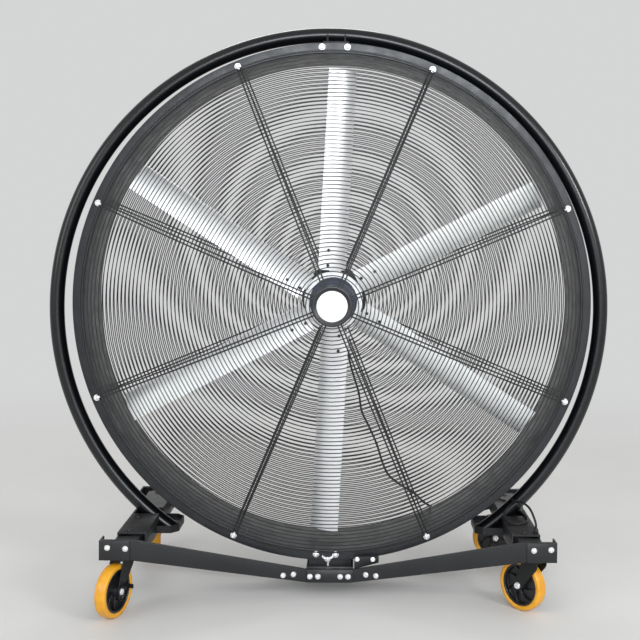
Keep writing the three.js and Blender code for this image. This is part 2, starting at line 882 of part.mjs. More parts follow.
// Folded tray between the inner ends of the arms.
function saddle() {
  const endY = armInnerY - armFlange - seat;
  const top = armInnerBottomZ + armInnerHeight;
  const tray = block([-saddleHalfX, saddleHalfX], [-endY, endY], [armInnerBottomZ, top]);
  const hollow = block(
    [-saddleHalfX + saddlePlate, saddleHalfX - saddlePlate],
    [-endY + saddlePlate, endY - saddlePlate],
    [armInnerBottomZ - sunk, top - saddlePlate],
  );
  return cut(tray, hollow);
}

function sideMember(side) {
  const x = (near, far) => [side * near, side * far].sort((a, b) => a - b);
  const bottom = memberBottomZ;
  const base = block(x(memberInnerX, memberOuterX), [-memberEndY, memberEndY], [bottom, bottom + memberPlate]);
  const ears = [-1, 1].map((end) => block(
    x(memberOuterX - sunk, casterX + casterPlateX / 2),
    [end * memberEndY, end * (memberEndY - memberEar)].sort((a, b) => a - b),
    [bottom, bottom + memberPlate],
  ));
  const tabs = [-1, 1].map((end) => block(
    x(memberInnerX + memberTabInset, memberOuterX),
    [end * memberEndY, end * (memberEndY - memberPlate)].sort((a, b) => a - b),
    [bottom, memberTopZ - memberTabDrop],
  ));
  const channel = block(
    x(memberInnerX, memberOuterX),
    [-memberChannelHalf, memberChannelHalf],
    [bottom, memberTopZ],
  );
  const room = block(
    x(memberInnerX + memberPlate, memberOuterX - memberPlate),
    [-memberChannelHalf - sunk, memberChannelHalf + sunk],
    [bottom + memberPlate, memberTopZ - memberPlate],
  );
  const notch = block(
    x(memberInnerX - sunk, memberOuterX - memberPlate),
    [-memberNotch, memberNotch],
    [bottom + memberPlate, memberTopZ + sunk],
  );
  const footway = block(
    [side * (memberInnerX - sunk), footX(side, footOuterX + seat)].sort((a, b) => a - b),
    [-footHalfY - seat, footHalfY + seat],
    [bottom + memberPlate, bottom + memberPlate + seat * 2 + footHeight],
  );
  return joined(base, ...ears, ...tabs, cut(channel, room, notch, footway));
}

// A foot plate's place follows the hoop, which isn't quite in the middle.
function footX(side, x) {
  return side * x + hoopCentreX;
}

function footPlateFor(side) {
  const cornerX = footInnerX + footChamfer;
  const cornerY = footHalfY - footChamfer;
  const outline = [
    [footOuterX, -footHalfY],
    [footOuterX, footHalfY],
    [cornerX, footHalfY],
    [footInnerX, cornerY],
    [footInnerX, -cornerY],
    [cornerX, -footHalfY],
  ].map(([x, y]) => [footX(side, x), y]);
  return closed(extruded(outline, footHeight, X, Y)
    .translate(0, 0, memberBottomZ + memberPlate + seat));
}

function endBracket(sideX, sideY) {
  const x = (near, far) => [sideX * near, sideX * far].sort((a, b) => a - b);
  const y = (near, far) => [sideY * near, sideY * far].sort((a, b) => a - b);
  const height = [bracketBottomZ, armTopZ];
  const face = block(x(bracketInnerX, bracketOuterX), y(baseHalfY - bracketPlate, baseHalfY), height);
  const back = block(
    x(bracketOuterX - bracketPlate, bracketOuterX),
    y(baseHalfY - bracketReturn, baseHalfY),
    height,
  );
  return joined(face, back);
}

// Height of an arm's top flange at a distance from the middle.
function armTopAt(x) {
  const innerTop = armInnerBottomZ + armInnerHeight;
  const share = Math.max(0, (x - armInnerX) / (armBendX - armInnerX));
  return innerTop + share * (armTopZ - innerTop);
}

// Folded lug that stands on the right front arm, beside the drum's bracket.
function armLug() {
  const endX = lugX + lugLength;
  const [lowIn, lowOut] = [armTopAt(lugX) + 2 * seat, armTopAt(endX) + 2 * seat];
  const [highIn, highOut] = [lowIn + lugHeight, lowOut + lugHeight * lugTaper];
  const frontY = -(armInnerY - armSheet);
  const web = [[lugX, lowIn], [endX, lowOut], [endX, highOut], [lugX, highIn]];
  const fold = [[lugX, highIn - lugSheet], [endX, highOut - lugSheet], [endX, highOut], [lugX, highIn]];
  return joined(
    extruded(web, lugSheet, X, Z).translate(0, frontY + lugSheet, 0),
    extruded(fold, lugDepth, X, Z).translate(0, frontY + lugDepth, 0),
  );
}

function placeBase() {
  add(fan, 'top_bracket', topBracket(), 'powderCoat');
  add(fan, 'bottom_bracket', bottomBracket(), 'powderCoat');
  add(fan, 'saddle', saddle(), 'powderCoat');
  add(fan, 'arm_lug', armLug(), 'powderCoat');
  for (const [sideY, end] of [[-1, 'front'], [1, 'rear']]) {
    add(fan, `${end}_splice_plate`, splicePlateFor(sideY), 'powderCoat');
    for (const [sideX, hand] of [[-1, 'left'], [1, 'right']]) {
      add(fan, `${end}_arm_${hand}`, arm(sideX, sideY), 'powderCoat');
      add(fan, `end_bracket_${end}_${hand}`, endBracket(sideX, sideY), 'powderCoat');
    }
  }
  for (const [side, hand] of [[-1, 'left'], [1, 'right']]) {
    add(fan, `side_member_${hand}`, sideMember(side), 'powderCoat');
    add(fan, `foot_plate_${hand}`, footPlateFor(side), 'powderCoat');
  }
}

// ---------- casters ----------
// In a caster's own frame the swivel axis is Z and the wheel trails towards +X.
const casterTopZ = memberBottomZ - seat;
const racewayBottomZ = casterTopZ - casterPlateThick - racewayHeight;
const forkTopZ = racewayBottomZ - seat;
const forkRoofZ = forkTopZ - forkTopThick;
const legInner = hubWidth / 2 + 2 * seat;

function casterMount() {
  const plate = block(
    [-casterPlateX / 2, casterPlateX / 2],
    [-casterPlateY / 2, casterPlateY / 2],
    [casterTopZ - casterPlateThick, casterTopZ],
  );
  const raceway = turnedUpright([
    [0, forkRoofZ + sunk],
    [kingpinR, forkRoofZ + sunk],
    [kingpinR, racewayBottomZ],
    [racewayR, racewayBottomZ],
    [racewayR, casterTopZ - sunk],
    [0, casterTopZ - sunk],
  ], smallSides);
  return joined(plate, raceway);
}

function forkLeg() {
  const z = wheelR;
  const u = casterTrail;
  const b = axleBossR;
  const c = diagonal * b;
  return extruded([
    [-forkTopR * 0.86, forkTopZ],
    [-forkTopR * 0.86, forkRoofZ - legRise],
    [u - b, z + axleR / 2],
    [u - c, z - c],
    [u, z - b],
    [u + c, z - c],
    [u + b, z + axleR],
    [forkTopR * 0.9, forkTopZ],
  ], forkSheet, X, Z);
}

function casterFork() {
  const legs = [-1, 1].map((side) => forkLeg()
    .translate(0, side > 0 ? legInner + forkSheet : -legInner, 0));
  const roof = turnedUpright([
    [boreFor(kingpinR, smallSides), forkRoofZ],
    [forkTopR, forkRoofZ],
    [forkTopR, forkTopZ],
    [boreFor(kingpinR, smallSides), forkTopZ],
  ], smallSides);
  const outside = legInner + forkSheet;
  const axle = new THREE.CylinderGeometry(axleR, axleR, 2 * outside, smallSides);
  const heads = [-1, 1].map((side) => new THREE.CylinderGeometry(axleHeadR, axleHeadR, axleHeadThick, 6)
    .translate(casterTrail, side * (outside + axleHeadThick / 2 - sunk / 2), wheelR));
  return joined(roof, ...legs, axle.translate(casterTrail, 0, wheelR), ...heads);
}

function wheelCore() {
  const bore = boreFor(axleR, smallSides);
  const outer = wheelFacetR(wheelR - treadThick);
  const half = [
    [bore, hubWidth / 2],
    [hubR, hubWidth / 2],
    [rimR, webThick / 2],
    [rimR + rimSlope, wheelWidth / 2 - sunk],
    [outer, wheelWidth / 2 - sunk],
  ];
  const back = half.map(([r, y]) => [r, -y]);
  return turned([...back, ...half.reverse()], wheelSides);
}

// The tread's flats, not its edges, are at the wheel's radius.
function wheelFacetR(radius) {
  return radius / Math.cos(Math.PI / wheelSides);
}

function wheelTread() {
  const inner = wheelFacetR(wheelR - treadThick) + seat;
  const outer = wheelFacetR(wheelR);
  const half = [
    [inner, wheelWidth / 2],
    [outer - treadShoulder, wheelWidth / 2],
    [outer, wheelWidth / 2 - treadShoulder],
  ];
  const back = half.map(([r, y]) => [r, -y]);
  return turned([...back, ...half.reverse()], wheelSides);
}

// Brake pedal on the axle bolt, outside one leg, with a foot tab bent outwards.
function brakePedal(side) {
  const near = legInner + forkSheet + seat;
  const boss = axleHeadR + pedalBoss;
  const corner = boss * diagonal;
  const arm = extruded([
    [-corner, -corner],
    [0, -boss],
    [corner, -corner],
    [boss, 0],
    [corner, corner],
    [0, boss],
    [-pedalReach, pedalWidth],
    [-pedalReach, 0],
  ], pedalThick, X, Z);
  arm.translate(casterTrail, 0, wheelR);
  arm.translate(0, side > 0 ? near + pedalThick : -near, 0);
  const tabY = [side * near, side * (near + pedalTab)].sort((a, b) => a - b);
  const tab = block(
    [casterTrail - pedalReach, casterTrail - pedalReach + pedalThick],
    tabY,
    [wheelR, wheelR + pedalWidth],
  );
  const holeR = boreFor(axleHeadR, smallSides);
  const hole = new THREE.CylinderGeometry(holeR, holeR, 2 * (near + pedalThick) + sunk, smallSides);
  hole.translate(casterTrail, 0, wheelR);
  return cut(joined(arm, tab), hole);
}

function placeCaster(name, sideX, sideY, heading, pedalSide) {
  const mountAt = new THREE.Group();
  mountAt.position.set(sideX * casterX, sideY * casterY, 0);
  fan.add(mountAt);
  add(mountAt, `${name}_mount`, casterMount(), 'powderCoat');
  const swivel = new THREE.Group();
  swivel.rotation.z = heading * rad;
  mountAt.add(swivel);
  add(swivel, `${name}_fork`, casterFork(), 'powderCoat');
  if (pedalSide) add(swivel, `${name}_brake_pedal`, brakePedal(pedalSide), 'powderCoat');
  const wheel = new THREE.Group();
  wheel.position.set(casterTrail, 0, wheelR);
  wheel.rotation.y = Math.PI / wheelSides;
  swivel.add(wheel);
  add(wheel, `${name}_wheel_core`, wheelCore(), 'blackPlastic');
  add(wheel, `${name}_wheel_tread`, wheelTread(), 'tyre');
}

function placeCasters() {
  placeCaster('caster_front_left', -1, -1, -110, 1);
  placeCaster('caster_front_right', 1, -1, 131, -1);
  placeCaster('caster_rear_right', 1, 1, 178, 0);
  placeCaster('caster_rear_left', -1, 1, 105, 0);
}

// ---------- motor lead ----------
// From the motor plate down the back guard, over to the right side member, one loop and in.
function placeLead() {
  const route = leadRoute();
  const shape = new THREE.Shape(ringPoints(leadR, leadSides));
  const lead = new THREE.ExtrudeGeometry(shape, {
    steps: leadSteps,
    bevelEnabled: false,
    extrudePath: new THREE.CatmullRomCurve3(route, false, 'centripetal'),
  });
  add(fan, 'motor_lead', closed(lead), 'cable');
  const base = memberTopZ + seat;
  const gland = turnedUpright([
    [0, base],
    [glandR, base],
    [glandR, base + glandHeight * glandShoulder],
    [leadR + glandLip, base + glandHeight],
    [0, base + glandHeight],
  ], smallSides);
  add(fan, 'lead_gland', gland.translate(glandX, glandY, 0), 'blackPlastic');
}

function leadRoute() {
  const behind = drumHalf + seat + wire + leadR + leadTie;
  const onGuard = (x, drop) => {
    const r = Math.hypot(x, drop);
    return new THREE.Vector3(x, behind + domeHeight(r, rearDome), drumCentreZ - drop);
  };
  const onBase = (x, y, z) => new THREE.Vector3(casterX + x, y, z);
  const top = memberTopZ + leadR + sunk;
  const glandTop = memberTopZ + seat + glandHeight;
  return [
    onGuard(50, 187),
    onGuard(78, 307),
    onGuard(112, 417),
    onGuard(126, 497),
    onGuard(158, 563),
    onGuard(192, 637),
    onGuard(223, 729),
    onGuard(246, 773),
    onGuard(276, 799),
    onGuard(316, 825),
    onGuard(362, 852),
    onGuard(400, 887),
    onBase(-347, 190, 268),
    onBase(-277, 212, 258),
    onBase(-197, 226, 272),
    onBase(-137, 226, 296),
    onBase(-81, 212, top),
    onBase(-41, 176, top),
    onBase(-8, 122, top),
    onBase(7, 70, top),
    onBase(5, 20, top),
    onBase(7, -47, top),
    onBase(10, -102, top),
    onBase(-7, -156, top),
    onBase(-47, -181, top),
    onBase(-80, -154, top),
    onBase(-88, -114, top + 10),
    onBase(-72, -86, top + 34),
    onBase(-46, -98, top + 64),
    onBase(-28, -148, top + 82),
    onBase(-18, -200, top + 86),
    onBase(-5, -240, top + 78),
    onBase(5, -272, top + 54),
    onBase(10, glandY, glandTop + leadBend),
    onBase(10, glandY, glandTop + seat),
  ];
}

placeFan();
placeHoop();
placeBase();
placeCasters();
placeLead();
fan.position.x = -hoopCentreX; // all of it is placed from the drum's axis up to here

export default fan;
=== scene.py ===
# Looks of the drum fan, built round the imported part. Metres, +Z up, the fan blows towards -Y.
# Shapes are laid out from the drum's axis and moved by DRUM_X as they are finished.
import math

import bmesh
import bpy
from mathutils import Matrix, Vector


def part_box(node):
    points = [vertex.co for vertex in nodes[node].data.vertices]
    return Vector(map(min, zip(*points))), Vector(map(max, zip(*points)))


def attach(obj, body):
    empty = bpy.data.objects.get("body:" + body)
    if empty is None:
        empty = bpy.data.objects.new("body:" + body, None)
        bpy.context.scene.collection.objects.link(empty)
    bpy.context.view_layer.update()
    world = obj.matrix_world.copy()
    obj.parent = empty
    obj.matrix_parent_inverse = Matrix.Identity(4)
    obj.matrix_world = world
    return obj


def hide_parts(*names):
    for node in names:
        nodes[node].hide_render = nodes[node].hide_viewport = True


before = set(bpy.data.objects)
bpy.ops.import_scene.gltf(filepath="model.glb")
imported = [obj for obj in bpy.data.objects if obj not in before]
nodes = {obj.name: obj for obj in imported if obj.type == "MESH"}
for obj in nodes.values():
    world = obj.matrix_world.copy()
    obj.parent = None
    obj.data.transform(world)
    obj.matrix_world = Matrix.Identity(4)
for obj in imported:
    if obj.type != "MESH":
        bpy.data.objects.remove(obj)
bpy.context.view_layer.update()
DEG = math.pi / 180
MM = 0.001

# ---------- sizes, in metres ----------
DRUM_X = 0.014  # the drum's axis lies this far to the right of the middle of the hoop
DRUM_Z = 1.187
BORE_R = 1.0
DRUM_HALF = 0.15
SHEET = 0.003
FLANGE_R = 1.043
FLANGE_BEND = 0.004
BOLT_CIRCLE_R = 1.019
SPOKE_PAIRS = 8
FIRST_SPOKE = 22.5 * DEG
SPOKE_HALF_GAP = 0.007
SPOKE_WIRE_R = 0.0031
RING_WIRE_R = 0.0020
RING_FIRST = 0.102
RING_LAST = 1.012
INNER_RINGS = (0.072, 0.087)
RING_STEPS = 57
HAIRPIN_R = 1.030
FRONT_DOME = 0.185
REAR_DOME = 0.040
HOOP_R = 1.1325
HOOP_X = -DRUM_X
HOOP_Z = 1.155
HOOP_TUBE_R = 0.030
HOOP_JOINT = -45.8 * DEG
HOOP_FLOOR_Z = 0.2435
BLADES = 6
BLADE_STEP = math.pi / 3
BLADE_PITCH = 32 * DEG
BLADE_FIRST = 2.5 * DEG
BLADE_ROOT = 0.126
BLADE_TIP = 0.960
CASTER_X, CASTER_Y = 0.797, 0.330
TRAIL = 0.058
WHEEL_R = 0.100
WHEEL_RIBS = 7
CASTERS = (("front_left", -1, -1, -110, 1), ("front_right", 1, -1, 131, -1),
           ("rear_right", 1, 1, 178, 0), ("rear_left", -1, 1, 105, 0))


# ---------- materials ----------
class Surface:
    """A node material: one shader with a few pattern nodes on the object's own coordinates."""

    def __init__(self, name, colour, roughness, metallic=0.0, **uniform):
        self.material = bpy.data.materials.new(name)
        self.material.use_nodes = True
        self.tree = self.material.node_tree
        self.shader = self.tree.nodes["Principled BSDF"]
        self.shader.inputs["Base Color"].default_value = (*colour, 1)
        self.shader.inputs["Roughness"].default_value = roughness
        self.shader.inputs["Metallic"].default_value = metallic
        for socket, value in uniform.items():
            self.shader.inputs[socket.replace("_", " ")].default_value = value
        self.material.diffuse_color = (*colour, 1)
        self.place = self.node("ShaderNodeTexCoord").outputs["Object"]

    def node(self, kind, **settings):
        made = self.tree.nodes.new(kind)
        for key, value in settings.items():
            setattr(made, key, value)
        return made

    def link(self, output, target):
        self.tree.links.new(output, target)

    def noise(self, scale, detail=3.0, stretch=(1, 1, 1), roughness=0.55):
        mapping = self.node("ShaderNodeMapping")
        mapping.inputs["Scale"].default_value = stretch
        self.link(self.place, mapping.inputs["Vector"])
        texture = self.node("ShaderNodeTexNoise")
        texture.inputs["Scale"].default_value = scale
        texture.inputs["Detail"].default_value = detail
        texture.inputs["Roughness"].default_value = roughness
        self.link(mapping.outputs["Vector"], texture.inputs["Vector"])
        return texture.outputs["Fac"]

    def spread(self, value, low, high, start=0.3, end=0.7):
        span = self.node("ShaderNodeMapRange")
        span.inputs["From Min"].default_value = start
        span.inputs["From Max"].default_value = end
        span.inputs["To Min"].default_value = low
        span.inputs["To Max"].default_value = high
        self.link(value, span.inputs["Value"])
        return span.outputs["Result"]

    def colour_between(self, value, first, second, start=0.3, end=0.7):
        ramp = self.node("ShaderNodeValToRGB")
        ramp.color_ramp.elements[0].position = start
        ramp.color_ramp.elements[0].color = (*first, 1)
        ramp.color_ramp.elements[1].position = end
        ramp.color_ramp.elements[1].color = (*second, 1)
        self.link(value, ramp.inputs["Fac"])
        return ramp.outputs["Color"]

    def blend(self, factor, first, second):
        mix = self.node("ShaderNodeMix", data_type="RGBA")
        self.link(factor, mix.inputs["Factor"])
        for socket, source in ((mix.inputs["A"], first), (mix.inputs["B"], second)):
            if isinstance(source, tuple):
                socket.default_value = (*source, 1)
            else:
                self.link(source, socket)
        return mix.outputs["Result"]

    def times(self, first, second):
        product = self.node("ShaderNodeMath", operation="MULTIPLY")
        self.link(first, product.inputs[0])
        if isinstance(second, float):
            product.inputs[1].default_value = second
        else:
            self.link(second, product.inputs[1])
        return product.outputs["Value"]

    def colour(self, output):
        self.link(output, self.shader.inputs["Base Color"])

    def rough(self, output):
        self.link(output, self.shader.inputs["Roughness"])

    def bump(self, height, strength, distance):
        bump = self.node("ShaderNodeBump")
        bump.inputs["Strength"].default_value = strength
        bump.inputs["Distance"].default_value = distance
        self.link(height, bump.inputs["Height"])
        self.link(bump.outputs["Normal"], self.shader.inputs["Normal"])

    def facing_up(self):
        """How far the surface faces up, from 0 to 1."""
        geometry = self.node("ShaderNodeNewGeometry")
        parts = self.node("ShaderNodeSeparateXYZ")
        self.link(geometry.outputs["Normal"], parts.inputs["Vector"])
        return self.spread(parts.outputs["Z"], 0.0, 1.0, start=0.35, end=0.95)


def scaled(colour, factor):
    return tuple(min(c * factor, 1.0) for c in colour)


def powder_coat(name, colour, rough, dust=0.25):
    s = Surface(name, colour, rough, 0.0, Specular_IOR_Level=0.35)
    patch = s.noise(6.0, 4.0)
    tone = s.colour_between(patch, scaled(colour, 0.86), scaled(colour, 1.16))
    film = s.times(s.times(s.facing_up(), s.spread(s.noise(38.0, 5.0), 0.1, 1.0)), dust)
    s.colour(s.blend(film, tone, (0.33, 0.31, 0.28)))
    s.rough(s.spread(s.noise(24.0, 3.0), rough - 0.07, rough + 0.09))
    s.bump(s.noise(1400.0, 2.0), 0.22, 0.0004)
    return s.material


def gloss_paint(name, colour, rough):
    s = Surface(name, colour, rough, 0.0, Specular_IOR_Level=0.34, Coat_Weight=0.24,
                Coat_Roughness=0.10)
    s.colour(s.colour_between(s.noise(9.0, 3.0), scaled(colour, 0.8), scaled(colour, 1.35)))
    s.rough(s.spread(s.noise(30.0, 4.0), rough - 0.03, rough + 0.04))
    s.bump(s.noise(70.0, 2.0), 0.03, 0.0003)
    return s.material


def drum_paint(name, colour, rough):
    s = Surface(name, colour, rough, 0.0, Specular_IOR_Level=0.35, Coat_Weight=0.15,
                Coat_Roughness=0.18)
    streak = s.noise(7.0, 5.0, stretch=(1.0, 3.0, 1.0))
    s.colour(s.colour_between(streak, scaled(colour, 0.7), scaled(colour, 1.3)))
    s.rough(s.spread(s.noise(18.0, 4.0), rough - 0.08, rough + 0.14))
    s.bump(s.noise(60.0, 3.0, stretch=(1.0, 0.3, 1.0)), 0.35, 0.0012)
    return s.material


def blade_metal():
    s = Surface("blade_aluminium", (0.90, 0.90, 0.905), 0.38, 0.45)
    grain = s.noise(420.0, 2.0)
    cloud = s.noise(14.0, 4.0)
    s.colour(s.colour_between(cloud, (0.88, 0.882, 0.89), (0.94, 0.94, 0.942)))
    s.rough(s.spread(cloud, 0.32, 0.48))
    s.bump(grain, 0.12, 0.0003)
    return s.material


def zinc():
    s = Surface("zinc", (0.84, 0.845, 0.85), 0.30, 0.6)
    spangle = s.noise(220.0, 3.0)
    s.colour(s.colour_between(spangle, (0.76, 0.77, 0.80), (0.92, 0.915, 0.90)))
    s.rough(s.spread(spangle, 0.22, 0.42))
    s.bump(s.noise(900.0, 2.0), 0.1, 0.0002)
    return s.material


def plastic(name, colour, rough, grain=700.0, **uniform):
    s = Surface(name, colour, rough, 0.0, **uniform)
    s.colour(s.colour_between(s.noise(30.0, 3.0), scaled(colour, 0.92), scaled(colour, 1.06)))
    s.rough(s.spread(s.noise(60.0, 3.0), rough - 0.04, rough + 0.07))
    s.bump(s.noise(grain, 2.0), 0.1, 0.0003)
    return s.material


def tread_rubber():
    colour = (0.68, 0.30, 0.010)
    s = Surface("yellow_tread", colour, 0.34, 0.0, Coat_Weight=0.25, Coat_Roughness=0.2)
    cloud = s.noise(22.0, 4.0)
    clean = s.colour_between(cloud, (0.62, 0.26, 0.006), (0.75, 0.36, 0.014))
    marks = s.spread(s.noise(75.0, 6.0), 0.0, 0.55, start=0.62, end=0.78)
    s.colour(s.blend(marks, clean, (0.30, 0.17, 0.04)))
    s.rough(s.spread(s.noise(48.0, 4.0), 0.26, 0.5))
    s.bump(s.noise(160.0, 4.0), 0.12, 0.0006)
    return s.material


def stator_metal():
    s = Surface("stator_iron", (0.22, 0.11, 0.06), 0.5, 0.6)
    layers = s.noise(900.0, 1.0, stretch=(0.02, 1.0, 0.02))
    s.colour(s.colour_between(layers, (0.12, 0.07, 0.05), (0.36, 0.17, 0.08)))
    s.bump(layers, 0.4, 0.0008)
    return s.material


FRAME_COAT = powder_coat("frame_powder_coat", (0.015, 0.0155, 0.017), 0.42, dust=0.05)
CASTER_COAT = powder_coat("caster_black_coat", (0.006, 0.0065, 0.007), 0.38, dust=0.06)
DRUM_COAT = drum_paint("drum_satin_paint", (0.008, 0.0085, 0.011), 0.36)
HOOP_PAINT = gloss_paint("hoop_gloss_black", (0.003, 0.0034, 0.0045), 0.31)
WIRE = plastic("guard_wire_coat", (0.016, 0.017, 0.018), 0.38, Specular_IOR_Level=0.4)
BLADE = blade_metal()
MOTOR = powder_coat("motor_enamel", (0.052, 0.062, 0.095), 0.34, dust=0.05)
ZINC = zinc()
# dark bolt steel; on the blades its darkness is painted shade
DARK_STEEL = plastic("dark_bolt_steel", (0.020, 0.020, 0.022), 0.32)
STATOR = stator_metal()
BLACK = plastic("black_plastic", (0.010, 0.010, 0.012), 0.34)
WHITE = plastic("white_gloss_plastic", (0.80, 0.80, 0.81), 0.20, Coat_Weight=0.4)
GREY_LINE = plastic("grey_rim_print", (0.42, 0.42, 0.43), 0.3)
TREAD = tread_rubber()
RUBBER = plastic("cable_rubber", (0.010, 0.010, 0.011), 0.5, grain=1500.0)
# a dark sheet laid round bolts as painted shadow
PAINTED_BOLT_SHADOW = plastic("socket_shadow", (0.006, 0.006, 0.006), 0.6)


# ---------- shapes ----------
def lathe(profile, sides, closed=False):
    """Turns (radius, height) points about Z. A closed profile makes a ring with its own inside."""
    verts, rings = [], []
    for r, h in profile:
        if r == 0:
            rings.append([len(verts)])
            verts.append(Vector((0, 0, h)))
            continue
        rings.append(list(range(len(verts), len(verts) + sides)))
        for k in range(sides):
            a = 2 * math.pi * k / sides
            verts.append(Vector((r * math.cos(a), r * math.sin(a), h)))
    pairs = list(zip(rings, rings[1:]))
    if closed:
        pairs.append((rings[-1], rings[0]))
    faces = []
    for low, high in pairs:
        for k in range(sides):
            n = (k + 1) % sides
            if len(low) == 1:
                faces.append((low[0], high[n], high[k]))
            elif len(high) == 1:
                faces.append((low[k], low[n], high[0]))
            else:
                faces.append((low[k], low[n], high[n], high[k]))
    return verts, faces


def frames_along(points, closed):
    """A side and an up direction at each point, carried along without twist."""
    n = len(points)
    tangents = []
    for i, p in enumerate(points):
        before = points[i - 1] if closed or i > 0 else p
        after = points[(i + 1) % n] if closed or i < n - 1 else p
        tangents.append((after - before).normalized())
    first = tangents[0]
    helper = Vector((0, 1, 0)) if abs(first.y) < 0.9 else Vector((1, 0, 0))
    side = first.cross(helper).normalized()
    frames = []
    for t in tangents:
        side = (side - t * side.dot(t)).normalized()
        frames.append((side, t.cross(side)))
    return frames


def tube(points, radius, sides, closed=False):
    points = [Vector(p) for p in points]
    verts, faces = [], []
    for p, (side, up) in zip(points, frames_along(points, closed)):
        for k in range(sides):
            a = 2 * math.pi * k / sides
            verts.append(p + (side * math.cos(a) + up * math.sin(a)) * radius)
    n = len(points)
    for i in range(n if closed else n - 1):
        a, b = i * sides, ((i + 1) % n) * sides
        for k in range(sides):
            m = (k + 1) % sides
            faces.append((a + k, a + m, b + m, b + k))
    if not closed:
        faces.append(tuple(range(sides - 1, -1, -1)))
        faces.append(tuple(range((n - 1) * sides, n * sides)))
    return verts, faces


def inset(outline, amount):
    """Moves a convex or nearly convex outline inwards by amount."""
    n = len(outline)
    area = sum(outline[i - 1][0] * outline[i][1] - outline[i][0] * outline[i - 1][1]
               for i in range(n))
    sign = 1 if area > 0 else -1
    moved = []
    for i in range(n):
        p, q, r = Vector(outline[i - 1]), Vector(outline[i]), Vector(outline[(i + 1) % n])
        a, b = (q - p).normalized(), (r - q).normalized()
        na, nb = Vector((-a.y, a.x)) * sign, Vector((-b.y, b.x)) * sign
        across = na + nb
        moved.append(tuple(q + across * (amount * 2 / across.length_squared)))
    return moved


def plate(outline, low, high, edge=0.0008):
    """A flat plate in X and Y between two heights, with softened edges."""
    inner = inset(outline, edge)
    levels = [(inner, low), (outline, low + edge), (outline, high - edge), (inner, high)]
    verts = [Vector((x, y, z)) for line, z in levels for x, y in line]
    n = len(outline)
    faces = []
    for level in range(3):
        for k in range(n):
            m = (k + 1) % n
            a, b = level * n, (level + 1) * n
            faces.append((a + k, a + m, b + m, b + k))
    faces.append(tuple(range(n - 1, -1, -1)))
    faces.append(tuple(range(3 * n, 4 * n)))
    return verts, faces


def rounded_box(low, high, edge=0.001):
    outline = [(low[0], low[1]), (high[0], low[1]), (high[0], high[1]), (low[0], high[1])]
    return plate(outline, low[2], high[2], edge)


def moved(shape, matrix):
    verts, faces = shape
    return [matrix @ v for v in verts], faces


def reach(direction):
    """Turns +Z to a direction."""
    return Vector((0, 0, 1)).rotation_difference(Vector(direction)).to_matrix().to_4x4()


class Piece:
    """Collects shapes, each with a material, into one object."""

    def __init__(self, name):
        self.name = name
        self.verts, self.faces, self.paint, self.materials = [], [], [], []

    def add(self, shape, material, matrix=None):
        verts, faces = moved(shape, matrix) if matrix else shape
        if material not in self.materials:
            self.materials.append(material)
        index = self.materials.index(material)
        base = len(self.verts)
        self.verts.extend(verts)
        self.faces.extend(tuple(base + i for i in face) for face in faces)
        self.paint.extend([index] * len(faces))
        return self

    def finish(self, body, slot, *stands_for, sharp=32):
        mesh = bpy.data.meshes.new(self.name)
        mesh.from_pydata([(v[0] + DRUM_X, v[1], v[2]) for v in self.verts], [], self.faces)
        for material in self.materials:
            mesh.materials.append(material)
        mesh.polygons.foreach_set("material_index", self.paint)
        mesh.update()
        outward(mesh)
        mesh.shade_smooth()
        mesh.set_sharp_from_angle(angle=sharp * DEG)
        made = bpy.data.objects.new(self.name, mesh)
        bpy.context.scene.collection.objects.link(made)
        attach(made, body)
        if stands_for:
            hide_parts(*stands_for)
        return made


def outward(mesh):
    """Makes every closed shell's faces look outwards."""
    work = bmesh.new()
    work.from_mesh(mesh)
    bmesh.ops.recalc_face_normals(work, faces=work.faces)
    work.to_mesh(mesh)
    work.free()


def at(x, y, z):
    return Matrix.Translation((x, y, z))


AXIS_Y = Matrix.Translation((0, 0, DRUM_Z)) @ Matrix.Rotation(math.pi / 2, 4, "X")
# A lathe shape's height h then lies along -Y: forwards on the fan.


# ---------- fasteners ----------
WASHER = 0.0016  # thickness under a bolt's head


def hex_bolt(width, rise, washer_r):
    """A hexagon head on a washer, standing on Z 0."""
    corner = width / math.sqrt(3)
    outline = [(corner * math.cos(k * math.pi / 3), corner * math.sin(k * math.pi / 3))
               for k in range(6)]
    head = plate(outline, WASHER, WASHER + rise, 0.0009)
    washer = lathe([(0, 0), (washer_r, 0), (washer_r, WASHER * 0.7),
                    (washer_r * 0.96, WASHER), (0, WASHER)], 24)
    return [head, washer]


def dome_bolt(head_r, rise, washer_r):
    """A round head on a washer, with a hexagon socket."""
    steps = [(head_r * math.cos(a * DEG), WASHER + rise * math.sin(a * DEG))
             for a in (0, 22, 45, 62)]
    socket = head_r * 0.4
    profile = [(0, 0), (washer_r, 0), (washer_r, 0.0012), (washer_r * 0.95, WASHER), *steps,
               (socket, WASHER + rise), (socket, WASHER + rise * 0.5), (0, WASHER + rise * 0.5)]
    return [lathe(profile, 24)]


def put_bolt(piece, shapes, place, facing, turn=0.0, material=None):
    matrix = Matrix.Translation(place) @ reach(facing) @ Matrix.Rotation(turn, 4, "Z")
    for shape in shapes:
        piece.add(shape, material or ZINC, matrix)


M10 = hex_bolt(0.016, 0.0065, 0.0115)
M8 = hex_bolt(0.013, 0.0055, 0.0095)
M6 = hex_bolt(0.010, 0.0040, 0.0070)
FLANGE_BOLT = dome_bolt(0.0108, 0.0062, 0.0128)
BASE_BOLT = dome_bolt(0.0098, 0.0062, 0.0110)
SMALL_DOME = dome_bolt(0.0070, 0.0040, 0.0080)
FRONT, BACK, UP = (0, -1, 0), (0, 1, 0), (0, 0, 1)


